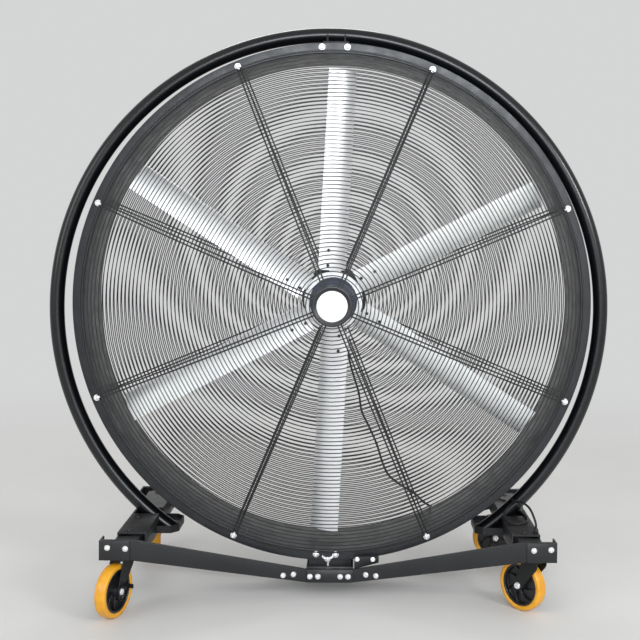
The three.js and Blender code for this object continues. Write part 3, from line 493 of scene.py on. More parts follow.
# ---------- camera, light and floor ----------
def make_camera():
    lens_pixels, frame_pixels = 1008.0, 640.0
    data = bpy.data.cameras.new("camera")
    data.sensor_fit = "HORIZONTAL"
    data.sensor_width = 36.0
    data.lens = lens_pixels / frame_pixels * data.sensor_width
    data.shift_x = -48.8 / frame_pixels
    data.shift_y = -66.0 / frame_pixels
    data.clip_start, data.clip_end = 0.1, 60
    cam = bpy.data.objects.new("camera", data)
    bpy.context.scene.collection.objects.link(cam)
    cam.location = (0.0641 + DRUM_X, -4.204, 1.474)
    yaw, pitch, roll = 1.101 * DEG, -1.25 * DEG, 0.695 * DEG
    cam.rotation_mode = "QUATERNION"
    look = Matrix.Rotation(-yaw, 4, "Z") @ Matrix.Rotation(math.pi / 2 + pitch, 4, "X")
    look = look @ Matrix.Rotation(roll, 4, "Z")
    cam.rotation_quaternion = look.to_quaternion()
    bpy.context.scene.camera = cam


def area_light(name, place, target, size, power, colour=(1, 1, 1)):
    data = bpy.data.lights.new(name, "AREA")
    data.shape = "RECTANGLE"
    data.size, data.size_y = size
    data.energy = power
    data.color = colour
    lamp = bpy.data.objects.new(name, data)
    lamp.location = place
    lamp.rotation_euler = (Vector(target) - Vector(place)).to_track_quat("-Z", "Y").to_euler()
    bpy.context.scene.collection.objects.link(lamp)


PALE = (0.66, 0.665, 0.665)  # background, as seen
WORLD_FRONT, WORLD_BACK = 0.98, 0.42  # strength of the soft light from either side


def seen_or_reflected(tree):
    """1 for a ray from the camera, or through or off a smooth surface, else 0."""
    path = tree.nodes.new("ShaderNodeLightPath")
    found = path.outputs["Is Camera Ray"]
    for kind in ("Is Glossy Ray", "Is Transmission Ray"):
        either = tree.nodes.new("ShaderNodeMath")
        either.operation = "MAXIMUM"
        tree.links.new(found, either.inputs[0])
        tree.links.new(path.outputs[kind], either.inputs[1])
        found = either.outputs["Value"]
    return found


def make_world():
    world = bpy.data.worlds.new("studio")
    world.use_nodes = True
    tree = world.node_tree
    soft = tree.nodes["Background"]
    seen = tree.nodes.new("ShaderNodeBackground")
    seen.inputs["Color"].default_value = (*PALE, 1)
    soft.inputs["Color"].default_value = (0.97, 0.985, 1.0, 1)
    place = tree.nodes.new("ShaderNodeTexCoord")
    turned = tree.nodes.new("ShaderNodeVectorMath")
    turned.operation = "DOT_PRODUCT"
    turned.inputs[1].default_value = Vector((0.30, -0.92, 0.26)).normalized()
    tree.links.new(place.outputs["Generated"], turned.inputs[0])
    ramp = tree.nodes.new("ShaderNodeMapRange")
    ramp.interpolation_type = "SMOOTHSTEP"
    for name, value in (("From Min", -0.35), ("From Max", 1.0), ("To Min", WORLD_BACK),
                        ("To Max", WORLD_FRONT)):
        ramp.inputs[name].default_value = value
    tree.links.new(turned.outputs["Value"], ramp.inputs["Value"])
    tree.links.new(ramp.outputs["Result"], soft.inputs["Strength"])
    mix = tree.nodes.new("ShaderNodeMixShader")
    tree.links.new(seen_or_reflected(tree), mix.inputs["Fac"])
    tree.links.new(soft.outputs["Background"], mix.inputs[1])
    tree.links.new(seen.outputs["Background"], mix.inputs[2])
    tree.links.new(mix.outputs["Shader"], tree.nodes["World Output"].inputs["Surface"])
    bpy.context.scene.world = world



def make_floor():
    """A pale floor that fades into the background away from the fan."""
    size = 30
    mesh = bpy.data.meshes.new("floor")
    mesh.from_pydata([(-size, -size, 0), (size, -size, 0), (size, size, 0), (-size, size, 0)],
                     [], [(0, 1, 2, 3)])
    s = Surface("pale_floor", (0.68, 0.67, 0.65), 0.5, 0.0, Specular_IOR_Level=0.25)
    s.colour(s.colour_between(s.noise(1.4, 4.0), (0.665, 0.655, 0.635), (0.70, 0.69, 0.67)))
    tree = s.tree
    glow = s.node("ShaderNodeEmission")
    glow.inputs["Color"].default_value = (*PALE, 1)
    far = s.node("ShaderNodeVectorMath", operation="LENGTH")
    s.link(s.place, far.inputs[0])
    fade = s.node("ShaderNodeMapRange", interpolation_type="SMOOTHERSTEP")
    fade.inputs["From Min"].default_value = 1.7
    fade.inputs["From Max"].default_value = 6.5
    s.link(far.outputs["Value"], fade.inputs["Value"])
    mix = s.node("ShaderNodeMixShader")
    s.link(s.times(fade.outputs["Result"], seen_or_reflected(tree)), mix.inputs["Fac"])
    s.link(s.shader.outputs["BSDF"], mix.inputs[1])
    s.link(glow.outputs["Emission"], mix.inputs[2])
    s.link(mix.outputs["Shader"], tree.nodes["Material Output"].inputs["Surface"])
    mesh.materials.append(s.material)
    floor = bpy.data.objects.new("floor", mesh)
    bpy.context.scene.collection.objects.link(floor)


def make_studio():
    bpy.context.scene.view_settings.view_transform = "Standard"
    make_camera()
    make_world()
    make_floor()
    area_light("window", (0.5, -7.0, 2.7), (0, 0, 1.1), (2.8, 2.2), 255, (0.90, 0.95, 1.0))
    area_light("key", (3.4, -3.7, 2.6), (0, 0, 1.1), (1.0, 1.0), 85)
    area_light("fill", (-4.6, -4.0, 2.6), (0, 0, 1.1), (2.4, 2.4), 60)
    area_light("back", (-0.8, 4.4, 5.2), (0, 0, 1.2), (3.0, 1.8), 85)


# ---------- drum ----------
def drum_profile():
    """The sheet's section as (radius, height) from the front flange round to the rear one."""
    r, t, half, bend = BORE_R, SHEET, DRUM_HALF, FLANGE_BEND
    arc = [(1 - math.cos(a * DEG), 1 - math.sin(a * DEG)) for a in (0, 30, 60, 90)]
    inside = [(r + bend * dx, half - bend * dy) for dx, dy in arc]
    rim = [(FLANGE_R - 0.001, half), (FLANGE_R, half - 0.001),
           (FLANGE_R, half - t + 0.001), (FLANGE_R - 0.001, half - t)]
    outside = [(r + t + 0.001, half - t), (r + t, half - t - 0.001)]
    front = inside + rim + outside
    return front + [(x, -y) for x, y in reversed(front)]


def build_drum():
    piece = Piece("drum")
    piece.add(lathe(drum_profile(), 240, closed=True), DRUM_COAT, AXIS_Y)
    weld_angle = 200 * DEG
    along = [Vector((math.sin(weld_angle) * (BORE_R - 0.0002), y,
                     DRUM_Z + math.cos(weld_angle) * (BORE_R - 0.0002)))
             for y in (-0.145, 0.145)]
    piece.add(tube(along, 0.0022, 8), DRUM_COAT)
    for k in range(SPOKE_PAIRS):
        a = FIRST_SPOKE + k * math.pi / 4
        for side in (-1, 1):
            clamp = DRUM_HALF + 0.0005 + 2 * SPOKE_WIRE_R
            spot = (BOLT_CIRCLE_R * math.cos(a), side * clamp,
                    DRUM_Z + BOLT_CIRCLE_R * math.sin(a))
            put_bolt(piece, FLANGE_BOLT, spot, (0, side, 0))
            put_bolt(piece, [lathe([(0, 0), (0.005, 0), (0.005, clamp - DRUM_HALF)], 16)],
                     (spot[0], side * DRUM_HALF, spot[2]), (0, side, 0))
    for x, z in ((-0.055, 2.2125), (0.047, 2.2133), (-0.057, 0.1690), (0.022, 0.1672)):
        put_bolt(piece, FLANGE_BOLT, (x, -DRUM_HALF - 0.0002, z), FRONT)
        put_bolt(piece, FLANGE_BOLT, (x, DRUM_HALF + 0.0002, z), BACK)
    piece.finish("frame", "powder_coat", "drum_shell")


# ---------- guards ----------
def dome_height(r, dome):
    sphere = (RING_LAST ** 2 + dome ** 2) / (2 * dome)
    if r > RING_LAST:
        return 0.0
    return math.sqrt(sphere ** 2 - r ** 2) - (sphere - dome)


def guard_point(r, a, lift, dome, facing):
    y = facing * (DRUM_HALF + 0.0005 + dome_height(r, dome) + lift)
    return Vector((r * math.cos(a), y, DRUM_Z + r * math.sin(a)))


def guard_ring(r, dome, facing, wire_r):
    steps = max(36, int(r * 150))
    points = [guard_point(r, 2 * math.pi * k / steps, wire_r, dome, facing)
              for k in range(steps)]
    return tube(points, wire_r, 6, closed=True)


def hairpin(a, dome, facing):
    """Two wires side by side from the hub, joined by a round end outside the drum's bore."""
    lift = 2 * RING_WIRE_R + SPOKE_WIRE_R - 0.0004
    count = 26
    inner_r = INNER_RINGS[0]
    radii = [inner_r + (RING_LAST - inner_r) * k / count for k in range(count + 1)]
    last = dome_height(RING_LAST, dome)
    radii.append(HAIRPIN_R - SPOKE_HALF_GAP)
    out, back = [], []
    for r in radii:
        level = lift if r <= RING_LAST else SPOKE_WIRE_R + 0.0005 - last
        aside = math.asin(SPOKE_HALF_GAP / r)
        out.append(guard_point(r, a - aside, level, dome, facing))
        back.append(guard_point(r, a + aside, level, dome, facing))
    centre = (out[-1] + back[-1]) / 2
    away = Vector((math.cos(a), 0, math.sin(a)))
    across = (back[-1] - out[-1]) / 2
    bow = [centre - across * math.cos(t) + away * SPOKE_HALF_GAP * math.sin(t)
           for t in (math.pi * k / 8 for k in range(1, 8))]
    return tube(out + bow + list(reversed(back)), SPOKE_WIRE_R, 8)


def build_guard(name, dome, facing, node):
    piece = Piece(name)
    for r in INNER_RINGS:
        piece.add(guard_ring(r, dome, facing, RING_WIRE_R), WIRE)
    for k in range(RING_STEPS + 1):
        r = RING_FIRST + (RING_LAST - RING_FIRST) * k / RING_STEPS
        thick = SPOKE_WIRE_R if k == RING_STEPS else RING_WIRE_R
        piece.add(guard_ring(r, dome, facing, thick), WIRE)
    for k in range(SPOKE_PAIRS):
        piece.add(hairpin(FIRST_SPOKE + k * math.pi / 4, dome, facing), WIRE)
    piece.finish("frame", "guard_wire", node, sharp=50)


def build_centre_disc():
    face = 0.3406
    disc = Piece("guard_disc")
    profile = [(0, face), (0.079, face), (0.0795, face + 0.002), (0.079, face + 0.006),
               (0.0765, face + 0.0085), (0.073, face + 0.0092), (0.069, face + 0.0085),
               (0.066, face + 0.006), (0.064, face + 0.0055), (0, face + 0.0055)]
    disc.add(lathe(profile, 96), BLACK, AXIS_Y)
    disc.finish("frame", "black_plastic", "guard_centre_disc")
    cap = Piece("cap")
    low = face + 0.0060
    dome = [(0.0595 * math.cos(a * DEG) ** 0.6, low + 0.0035 + 0.0035 * math.sin(a * DEG))
            for a in (6, 14, 26, 40, 56, 72, 84)]
    cap.add(lathe([(0, low), (0.0595, low), (0.0597, low + 0.003), *dome,
                   (0, low + 0.0072)], 96), WHITE, AXIS_Y)
    line = [Vector((0.053 * math.cos(t), 0.053 * math.sin(t), low + 0.00565))
            for t in (2 * math.pi * k / 96 for k in range(96))]
    cap.add(tube(line, 0.0007, 6, closed=True), GREY_LINE, AXIS_Y)
    cap.finish("frame", "white_plastic", "hub_cap")


# ---------- rotor ----------
def airfoil_outline(steps=26):
    chord, thick, nose = 0.135, 0.019, 0.436
    camber, bow, tail = -0.013, 0.85, 0.0016

    def half(share):
        poly = (0.2969 * math.sqrt(share) - 0.126 * share - 0.3516 * share ** 2
                + 0.2843 * share ** 3 - 0.1036 * share ** 4)
        return max(5 * thick * poly, tail / 2 if share > 0.02 else 0.0)

    def middle(share):
        return camber * (4 * share * (1 - share) - bow)

    shares = [(1 - math.cos(math.pi * k / steps)) / 2 for k in range(steps + 1)]
    upper = [(chord * (nose - s), middle(s) + half(s)) for s in shares]
    lower = [(chord * (nose - s), middle(s) - half(s)) for s in shares[1:]]
    return upper + lower[::-1]


def blade_matrix(k):
    turn = Matrix.Rotation(BLADE_FIRST + k * BLADE_STEP, 4, "Y")
    return at(0, 0, DRUM_Z) @ turn @ Matrix.Rotation(BLADE_PITCH, 4, "Z")


def build_blades():
    outline = airfoil_outline()
    for k in range(BLADES):
        piece = Piece(f"blade_skin_{k + 1}")
        matrix = blade_matrix(k)
        levels = [BLADE_ROOT + (BLADE_TIP - BLADE_ROOT) * i / 12 for i in range(13)]
        verts = [Vector((x, y, z)) for z in levels for x, y in outline]
        n = len(outline)
        faces = []
        for level in range(len(levels) - 1):
            for i in range(n):
                m = (i + 1) % n
                a, b = level * n, (level + 1) * n
                faces.append((a + i, a + m, b + m, b + i))
        faces.append(tuple(range(n - 1, -1, -1)))
        faces.append(tuple(range((len(levels) - 1) * n, len(levels) * n)))
        piece.add((verts, faces), BLADE, matrix)
        # painted shade: these bolts are dark steel because their heads sit in shade
        for z in (0.145, 0.208):
            for side, rise in ((-1, 0.0045), (1, 0.0062)):
                spot = matrix @ Vector((-0.040, side * rise, z))
                facing = matrix.to_3x3() @ Vector((0, side, 0))
                put_bolt(piece, M6, spot, facing, material=DARK_STEEL)
        piece.finish("rotor", "blade_metal", f"blade_{k + 1}", sharp=60)


def build_hub():
    """The ring round the motor with its six struts, which go into the blades."""
    piece = Piece("blade_hub_skin")
    w = 0.014
    ring = [(0.0984, -w), (0.1195, -w), (0.1220, -w + 0.0025), (0.1220, w - 0.0025),
            (0.1195, w), (0.1130, w), (0.1120, w - 0.0010), (0.1040, w - 0.0010),
            (0.1030, w), (0.0984, w)]
    piece.add(lathe(ring, 120, closed=True), BLADE, AXIS_Y)
    for k in range(BLADES):
        matrix = blade_matrix(k)
        strut = rounded_box((-0.0258, -0.0044, 0.108), (0.0258, 0.0044, 0.3255), 0.0012)
        piece.add(strut, BLADE, matrix)
        a = math.pi / 2 - BLADE_FIRST - (k + 0.5) * BLADE_STEP
        spot = (0.1085 * math.cos(a), -w, DRUM_Z + 0.1085 * math.sin(a))
        put_bolt(piece, M6, spot, FRONT)
    piece.finish("rotor", "motor_paint", "blade_hub")


def build_motor():
    housing = Piece("motor_housing_skin")
    low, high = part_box("rotor_housing")
    back, front = -high.y, -low.y
    fins = []
    count = 9
    step = (front - back - 0.022) / count
    for i in range(count):
        h = back + 0.012 + (front - back - 0.022) * i / count
        fins += [(0.0945, h), (0.0945, h + step * 0.45), (0.098, h + step * 0.52),
                 (0.098, h + step * 0.93)]
    profile = [(0.045, back), (0.090, back), (0.096, back + 0.004), (0.098, back + 0.010),
               *fins, (0.098, front - 0.006), (0.095, front), (0.045, front)]
    housing.add(lathe(profile, 96, closed=True), MOTOR, AXIS_Y)
    housing.finish("rotor", "motor_paint", "rotor_housing")

    cover = Piece("motor_cover_skin")
    low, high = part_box("rotor_cover")
    back, front = -high.y, -low.y
    rise = front - back
    profile = [(0, back), (0.097, back), (0.098, back + 0.002), (0.098, back + rise * 0.42),
               (0.095, back + rise * 0.52), (0.088, back + rise * 0.62),
               (0.060, back + rise * 0.86), (0.034, back + rise * 0.97), (0, front)]
    cover.add(lathe(profile, 96), MOTOR, AXIS_Y)
    cover.finish("rotor", "motor_paint", "rotor_cover")


# ---------- hoop ----------
def hoop_point(a, reach_r=HOOP_R, aside=0.0):
    return Vector((HOOP_X + reach_r * math.cos(a), aside, HOOP_Z + reach_r * math.sin(a)))


def level_angle(reach_r):
    """Where a line of the tube at this radius comes down to the foot plate, on the right."""
    return math.asin((HOOP_FLOOR_Z - HOOP_Z) / reach_r)


def hoop_stretch(start, end, steps, sides=40):
    """The tube between two ends. An end is an angle, or a function of the line's radius."""
    verts, faces = [], []
    for i in range(steps + 1):
        for k in range(sides):
            t = 2 * math.pi * k / sides
            reach_r = HOOP_R + HOOP_TUBE_R * math.cos(t)
            first = start(reach_r) if callable(start) else start
            last = end(reach_r) if callable(end) else end
            a = first + (last - first) * i / steps
            verts.append(hoop_point(a, reach_r, HOOP_TUBE_R * math.sin(t)))
    for i in range(steps):
        for k in range(sides):
            m = (k + 1) % sides
            a, b = i * sides, (i + 1) * sides
            faces.append((a + k, a + m, b + m, b + k))
    faces.append(tuple(range(sides - 1, -1, -1)))
    faces.append(tuple(range(steps * sides, (steps + 1) * sides)))
    return verts, faces


def build_hoop():
    main = Piece("hoop_tube")
    main.add(hoop_stretch(HOOP_JOINT + 0.0012, lambda r: math.pi - level_angle(r), 420), HOOP_PAINT)
    main.finish("frame", "hoop_paint", "hoop_main", sharp=40)
    foot = Piece("hoop_foot_tube")
    foot.add(hoop_stretch(level_angle, HOOP_JOINT - 0.0012, 20), HOOP_PAINT)
    ring = [(0.0302, -0.004), (0.0312, -0.003), (0.0312, 0.003), (0.0302, 0.004), (0.028, 0)]
    joint = hoop_point(HOOP_JOINT)
    along = Vector((-math.sin(HOOP_JOINT), 0, math.cos(HOOP_JOINT)))
    foot.add(lathe(ring, 40, closed=True), BLACK, Matrix.Translation(joint) @ reach(along))
    foot.finish("frame", "hoop_paint", "hoop_foot", sharp=40)


# ---------- carried-over nodes ----------
def soften(node, width, material, angle=38):
    """Keeps a sheet-metal node, with rounded edges and its own material."""
    part = nodes[node]
    part.data.materials.clear()
    part.data.materials.append(material)
    weld = part.modifiers.new("weld", "WELD")
    weld.merge_threshold = 0.00002
    bevel = part.modifiers.new("bevel", "BEVEL")
    bevel.width = width
    bevel.segments = 2
    bevel.limit_method = "ANGLE"
    bevel.angle_limit = angle * DEG
    bevel.harden_normals = False
    part.data.shade_smooth()
    part.data.set_sharp_from_angle(angle=angle * DEG)


def keep_nodes():
    coated = ["motor_plate", "top_bracket", "bottom_bracket", "saddle", "arm_lug",
              "front_splice_plate", "rear_splice_plate"]
    for end in ("front", "rear"):
        for hand in ("left", "right"):
            coated += [f"{end}_arm_{hand}", f"end_bracket_{end}_{hand}"]
    for hand in ("left", "right"):
        coated.append(f"side_member_{hand}")
    for node in coated:
        soften(node, 0.0012, FRAME_COAT)
    for corner in CASTERS:
        soften(f"caster_{corner[0]}_mount", 0.0012, CASTER_COAT)
    for node in ("motor_shaft", "front_bearing", "rear_bearing", "hoop_spigot"):
        soften(node, 0.0008, ZINC)
    soften("motor_stator", 0.001, STATOR)


# ---------- foot trays and end flanges ----------
def tray(outline, low, floor, high, wall):
    """An open tray of folded sheet: an outline with walls and a raised floor."""
    edge = 0.0008
    lines = [(edge, low), (0, low + edge), (0, high - edge), (edge, high),
             (wall - edge, high), (wall, high - edge), (wall, floor + 0.002), (wall + 0.002, floor)]
    verts = []
    for amount, z in lines:
        line = inset(outline, amount) if amount else outline
        verts += [Vector((x, y, z)) for x, y in line]
    n = len(outline)
    faces = [tuple(range(n - 1, -1, -1))]
    for level in range(len(lines) - 1):
        for k in range(n):
            m = (k + 1) % n
            a, b = level * n, (level + 1) * n
            faces.append((a + k, a + m, b + m, b + k))
    faces.append(tuple(range((len(lines) - 1) * n, len(lines) * n)))
    return verts, faces


def build_feet():
    """The trays that the hoop's ends stand in."""
    half, inner, outer, chamfer = 0.093, 0.610, 0.752, 0.030
    for hand, side in (("left", -1), ("right", 1)):
        outline = [(outer, -half), (outer, half), (inner + chamfer, half), (inner, half - chamfer),
                   (inner, chamfer - half), (inner + chamfer, -half)]
        piece = Piece(f"foot_tray_{hand}")
        shape = tray([(side * x + HOOP_X, y) for x, y in outline], 0.2323, 0.2432, 0.2623, 0.003)
        piece.add(shape, FRAME_COAT)
        for x, y in ((0.642, -0.068), (0.642, 0.068), (0.728, -0.072), (0.728, 0.072)):
            put_bolt(piece, SMALL_DOME, (side * x + HOOP_X, y, 0.2433), UP, material=DARK_STEEL)
        piece.finish("frame", "powder_coat", f"foot_plate_{hand}")


def build_end_flanges():
    """The strips that close each side member over its ends."""
    piece = Piece("member_end_flanges")
    for side in (-1, 1):
        for end in (-1, 1):
            xs, ys = sorted((side * 0.731, side * 0.8195)), sorted((end * 0.3137, end * 0.3712))
            piece.add(rounded_box((xs[0], ys[0], 0.2822), (xs[1], ys[1], 0.2882)), FRAME_COAT)
    piece.finish("frame", "powder_coat")


# ---------- bolts and fittings on the base ----------
ARM_BEND_X = 0.738


def arm_face(x):
    """Y of an arm's outer face at a distance from the middle, and its slope there."""
    slope = (0.4037 - 0.199) / (ARM_BEND_X - 0.1)
    return 0.199 + max(0.0, x - 0.1) * slope, slope if x > 0.1 else 0.0


def build_base_bolts():
    piece = Piece("base_bolts")
    for side in (-1, 1):
        facing = (0, side, 0)
        for x in (-0.079, -0.047, 0.042, 0.0735):
            put_bolt(piece, BASE_BOLT, (x, side * 0.2043, 0.0955), facing)
        for x in (-0.184, -0.144, 0.144, 0.184):
            y, slope = arm_face(abs(x))
            away = Vector((-math.copysign(slope, x), side, 0)).normalized()
            put_bolt(piece, BASE_BOLT, (x, side * (y + 0.0001), 0.107), away)
    for x, z in ((-0.8367, 0.271), (-0.7691, 0.2677), (0.7794, 0.2695), (0.845, 0.273)):
        put_bolt(piece, BASE_BOLT, (x, -0.4101, z), FRONT)
    for x, z in ((-0.845, 0.2715), (-0.779, 0.260), (0.779, 0.260), (0.845, 0.2715)):
        put_bolt(piece, BASE_BOLT, (x, 0.4101, z), BACK)
    for x, z in ((0.109, 0.163), (0.172, 0.163)):
        put_bolt(piece, M8, (x, -0.1952, z), FRONT)
    for x, y in ((-0.784, -0.101), (-0.779, -0.287), (-0.779, 0.287), (-0.784, 0.101),
                 (0.762, -0.287), (0.784, 0.120), (0.770, 0.287)):
        put_bolt(piece, SMALL_DOME, (x, y, 0.3002), UP, material=DARK_STEEL)
        # painted shadow: a thin dark ring on the top plate round each dome
        put_bolt(piece, [lathe([(0.0078, 0), (0.0135, 0), (0.0135, 0.0012), (0.0078, 0.0016)],
                               24, closed=True)], (x, y, 0.3002), UP, material=PAINTED_BOLT_SHADOW)
    for x, z in ((-0.874, 0.268), (-0.8105, 0.260), (-0.810, 0.226), (0.808, 0.267),
                 (0.747, 0.225), (0.763, 0.204)):
        put_bolt(piece, M10, (x, 0.3996, z), FRONT)
    for _, ax, ay, _, _ in CASTERS:
        for dx in (-0.042, 0.042):  # the caster plate's bolts
            for dy in (-0.028, 0.028):
                spot = (ax * CASTER_X + dx, ay * CASTER_Y + dy, 0.2196)
                put_bolt(piece, M8, spot, (0, 0, -1))
    piece.finish("frame", "steel")


def build_wing_nut():
    """The hand screw under the front of the drum."""
    piece = Piece("hand_screw")
    face = -0.1469
    centre = Vector((-0.010, face, 0.150))
    put_bolt(piece, [lathe([(0, 0), (0.0135, 0), (0.0135, 0.0016), (0.0085, 0.0018),
                            (0.0075, 0.009), (0.0045, 0.0095), (0.0045, 0.017),
                            (0.0035, 0.018), (0, 0.018)], 28)], centre, FRONT)
    for side in (-1, 1):
        wing = [(0.005, -0.004), (0.013, -0.002), (0.021, 0.004), (0.0235, 0.010),
                (0.0225, 0.0135), (0.0190, 0.0145), (0.0150, 0.011), (0.0050, 0.006)]
        outline = [(side * x, y) for x, y in wing]
        matrix = Matrix.Translation(centre + Vector((0, -0.0028, 0)))
        matrix = matrix @ Matrix.Rotation(math.pi / 2, 4, "X")
        piece.add(plate(outline, 0, 0.0035, 0.0010), ZINC, matrix)
    stem = [centre + Vector((0.002, -0.004, -0.004 - 0.004 * i)) for i in range(7)]
    piece.add(tube(stem, 0.0042, 16), ZINC)
    piece.finish("frame", "steel")


# ---------- casters ----------
def leg_outline():
    """One side of the fork: X runs along the trail and Y is the height."""
    top, roof, boss = 0.2127, 0.2057, 0.020
    arc = [(TRAIL + boss * math.cos(a * DEG), WHEEL_R + boss * math.sin(a * DEG))
           for a in range(186, 386, 14)]
    return [(-0.0340, top), (-0.0360, top - 0.004), (-0.0360, roof - 0.014),
            (-0.0300, roof - 0.026), *arc, (0.0378, top - 0.006), (0.0360, top)]


def build_caster(name, ax, ay, heading, pedal):
    a = heading * DEG
    trail = Vector((math.cos(a), math.sin(a), 0))
    across = Vector((-math.sin(a), math.cos(a), 0))
    pivot = Vector((ax * CASTER_X, ay * CASTER_Y, 0))
    hub = pivot + trail * TRAIL + Vector((0, 0, WHEEL_R))

    fork = Piece(f"{name}_fork_skin")
    upright = Matrix(((trail.x, 0, -across.x, pivot.x), (trail.y, 0, -across.y, pivot.y),
                      (0, 1, 0, 0), (0, 0, 0, 1)))
    for low in (0.0257, -0.0306):
        fork.add(plate(leg_outline(), low, low + 0.0049, 0.0012), CASTER_COAT, upright)
    roof = [(0.0118, 0.2060), (0.0400, 0.2060), (0.0418, 0.2075), (0.0418, 0.2112),
            (0.0400, 0.2128), (0.0118, 0.2128)]
    fork.add(lathe(roof, 48, closed=True), CASTER_COAT, Matrix.Translation(pivot))
    fork.add(lathe([(0, -0.0305), (0.0078, -0.0305), (0.0078, 0.0305), (0, 0.0305)], 24),
             ZINC, Matrix.Translation(hub) @ reach(across))
    for side in (-1, 1):
        nut = hex_bolt(0.0215, 0.0062, 0.0128)
        put_bolt(fork, nut, hub + across * side * 0.0307, across * side)
    fork.finish(f"caster_{name}_swivel", "powder_coat", f"caster_{name}_fork")

    axle = Matrix.Translation(hub) @ Matrix(((trail.x, 0, across.x, 0), (trail.y, 0, across.y, 0),
                                             (0, -1, 0, 0), (0, 0, 0, 1)))
    build_wheel(name, axle)
    if pedal:
        build_pedal(name, axle, pedal)


def mirrored_ring(half):
    """A closed section from its upper half, mirrored to the other side of the wheel."""
    return half + [(r, -h) for r, h in reversed(half)]


def build_wheel(name, axle):
    tread = Piece(f"{name}_tread_skin")
    half = [(0.0806, 0.0203), (0.0830, 0.0222), (0.0935, 0.0222), (0.0962, 0.0213),
            (0.0982, 0.0190), (0.0990, 0.0158), (0.0991, 0.0136), (0.0984, 0.0128),
            (0.0994, 0.0119), (0.0999, 0.0080), (0.1000, 0.0030)]
    tread.add(lathe(mirrored_ring(half), 96, closed=True), TREAD, axle)
    tread.finish(f"caster_{name}_wheel", "yellow_tread", f"caster_{name}_wheel_tread", sharp=60)
    core = Piece(f"{name}_core_skin")
    half = [(0.0084, 0.0249), (0.0170, 0.0249), (0.0190, 0.0235), (0.0215, 0.0135),
            (0.0235, 0.0050), (0.0700, 0.0040), (0.0718, 0.0060), (0.0722, 0.0190),
            (0.0738, 0.0206), (0.0800, 0.0206), (0.0804, 0.0198)]
    core.add(lathe(mirrored_ring(half), 72, closed=True), BLACK, axle)
    for k in range(WHEEL_RIBS):
        start = 2 * math.pi * k / WHEEL_RIBS
        lines = []
        for side in (-1, 1):
            line = []
            for i in range(9):
                r = 0.0195 + 0.0520 * i / 8
                a = start + 0.55 * (i / 8) ** 1.4 + side * 0.0016 / r
                line.append((r * math.cos(a), r * math.sin(a)))
            lines.append(line)
        rib = lines[0] + lines[1][::-1]
        core.add(plate(rib, -0.0165, 0.0165, 0.0006), BLACK, axle)
    core.finish(f"caster_{name}_wheel", "black_plastic", f"caster_{name}_wheel_core")


def build_pedal(name, axle, side):
    """A brake lever on the axle bolt, with a foot tab bent outwards at its end."""
    piece = Piece(f"{name}_pedal_skin")
    near = 0.0310
    ring = [(0.0132, 0), (0.0200, 0), (0.0208, 0.0008), (0.0208, 0.0030), (0.0200, 0.0038),
            (0.0132, 0.0038)]
    flip = Matrix.Scale(side, 4, (0, 0, 1))
    up = axle @ flip @ at(0, 0, near)
    piece.add(lathe(ring, 40, closed=True), CASTER_COAT, up)
    lever = [(-0.0150, 0.0120), (-0.0170, -0.0020), (-0.0180, -0.0100), (-0.0300, -0.0150),
             (-0.0440, -0.0178), (-0.0455, -0.0165), (-0.0455, -0.0015), (-0.0440, 0.0000),
             (-0.0300, 0.0030)]
    piece.add(plate(lever, 0, 0.0038, 0.0008), CASTER_COAT, up)
    drop = [(0.0000, 0.0012), (0.0000, 0.0180), (0.0275, 0.0180), (0.0278, 0.0160),
            (0.0278, 0.0020), (0.0262, 0.0004)]
    turned = up @ Matrix(((0, 0, 1, -0.0458), (0, -1, 0, 0), (1, 0, 0, 0), (0, 0, 0, 1)))
    piece.add(plate(drop, 0, 0.0036, 0.0009), CASTER_COAT, turned)
    piece.finish(f"caster_{name}_brake", "powder_coat", f"caster_{name}_brake_pedal")


# ---------- motor lead ----------
LEAD_R = 0.0045
GLAND_X, GLAND_Y = CASTER_X + 0.010, -0.294
MEMBER_TOP = 0.300


def lead_route():
    behind = DRUM_HALF + 0.0003 + 0.005 + LEAD_R + 0.002
    points = []
    for x, drop in ((50, 187), (78, 307), (112, 417), (126, 497), (158, 563), (192, 637),
                    (223, 729), (246, 773), (276, 799), (316, 825), (362, 852), (400, 887)):
        x, drop = x * MM, drop * MM
        y = behind + dome_height(math.hypot(x, drop), REAR_DOME)
        points.append(Vector((x, y, DRUM_Z - drop)))
    top = MEMBER_TOP * 1000 + 5.5
    gland_top = MEMBER_TOP * 1000 + 0.3 + 22
    for x, y, z in ((-347, 190, 268), (-277, 212, 258), (-197, 226, 272), (-137, 226, 296),
                    (-81, 212, top), (-41, 176, top), (-8, 122, top), (7, 70, top), (5, 20, top),
                    (7, -47, top), (10, -102, top), (-7, -156, top), (-47, -181, top),
                    (-80, -154, top), (-88, -114, top + 10), (-72, -86, top + 34),
                    (-46, -98, top + 64), (-28, -148, top + 82), (-18, -200, top + 86),
                    (-5, -240, top + 78), (5, -272, top + 54), (10, -294, gland_top + 14),
                    (10, -294, gland_top + 0.3)):
        points.append(Vector((CASTER_X + x * MM, y * MM, z * MM)))
    return points


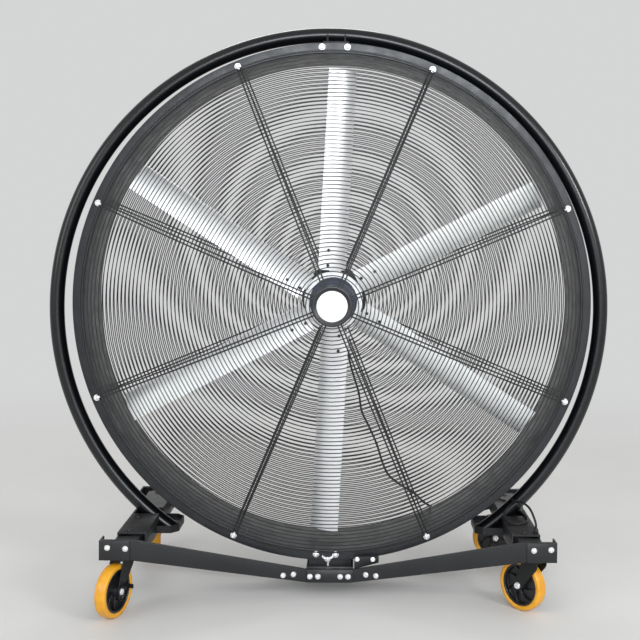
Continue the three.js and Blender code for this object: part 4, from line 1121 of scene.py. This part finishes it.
def smooth_route(points, steps):
    """A centripetal curve through the points."""
    padded = [points[0] * 2 - points[1], *points, points[-1] * 2 - points[-2]]
    out = []
    for i in range(len(points) - 1):
        a, b, c, d = padded[i:i + 4]
        t = [0.0]
        for p, q in ((a, b), (b, c), (c, d)):
            t.append(t[-1] + (q - p).length ** 0.5)
        for k in range(steps):
            u = t[1] + (t[2] - t[1]) * k / steps
            ab = a.lerp(b, (u - t[0]) / (t[1] - t[0]))
            bc = b.lerp(c, (u - t[1]) / (t[2] - t[1]))
            cd = c.lerp(d, (u - t[2]) / (t[3] - t[2]))
            left = ab.lerp(bc, (u - t[0]) / (t[2] - t[0]))
            right = bc.lerp(cd, (u - t[1]) / (t[3] - t[1]))
            out.append(left.lerp(right, (u - t[1]) / (t[2] - t[1])))
    return out + [points[-1]]


def build_lead():
    route = smooth_route(lead_route(), 9)
    piece = Piece("motor_lead_skin")
    piece.add(tube(route, LEAD_R, 14), RUBBER)
    piece.finish("frame", "cable", "motor_lead", sharp=60)
    gland = Piece("lead_gland_skin")
    profile = [(0, 0.0003), (0.0108, 0.0003), (0.0108, 0.0075), (0.0092, 0.0080),
               (0.0092, 0.0095), (0.0104, 0.0100), (0.0104, 0.0150), (0.0080, 0.0195),
               (0.0060, 0.0220), (0, 0.0220)]
    gland.add(lathe(profile, 12), BLACK, at(GLAND_X, GLAND_Y, MEMBER_TOP))
    gland.finish("frame", "black_plastic", "lead_gland", sharp=25)
    ties = Piece("lead_ties")
    for x, drop in ((50, 187), (112, 417), (192, 637), (276, 799), (400, 887)):
        x, drop = x * MM, drop * MM
        y = DRUM_HALF + 0.0118 + dome_height(math.hypot(x, drop), REAR_DOME)
        a = math.atan2(x, drop)
        loop = [Vector((0.0062 * math.cos(t), 0.0085 * math.sin(t), 0))
                for t in (2 * math.pi * i / 20 for i in range(20))]
        turn = at(x, y - 0.0028, DRUM_Z - drop) @ Matrix.Rotation(-a, 4, "Y")
        ties.add(tube(loop, 0.0012, 6, closed=True), BLACK, turn)
    ties.finish("frame", "cable")


make_studio()
build_drum()
build_guard("front_guard_wires", FRONT_DOME, -1, "front_guard")
build_guard("rear_guard_wires", REAR_DOME, 1, "rear_guard")
build_centre_disc()
build_blades()
build_hub()
build_motor()
build_hoop()
keep_nodes()
build_feet()
build_end_flanges()
build_base_bolts()
build_wing_nut()
for caster in CASTERS:
    build_caster(*caster)
build_lead()
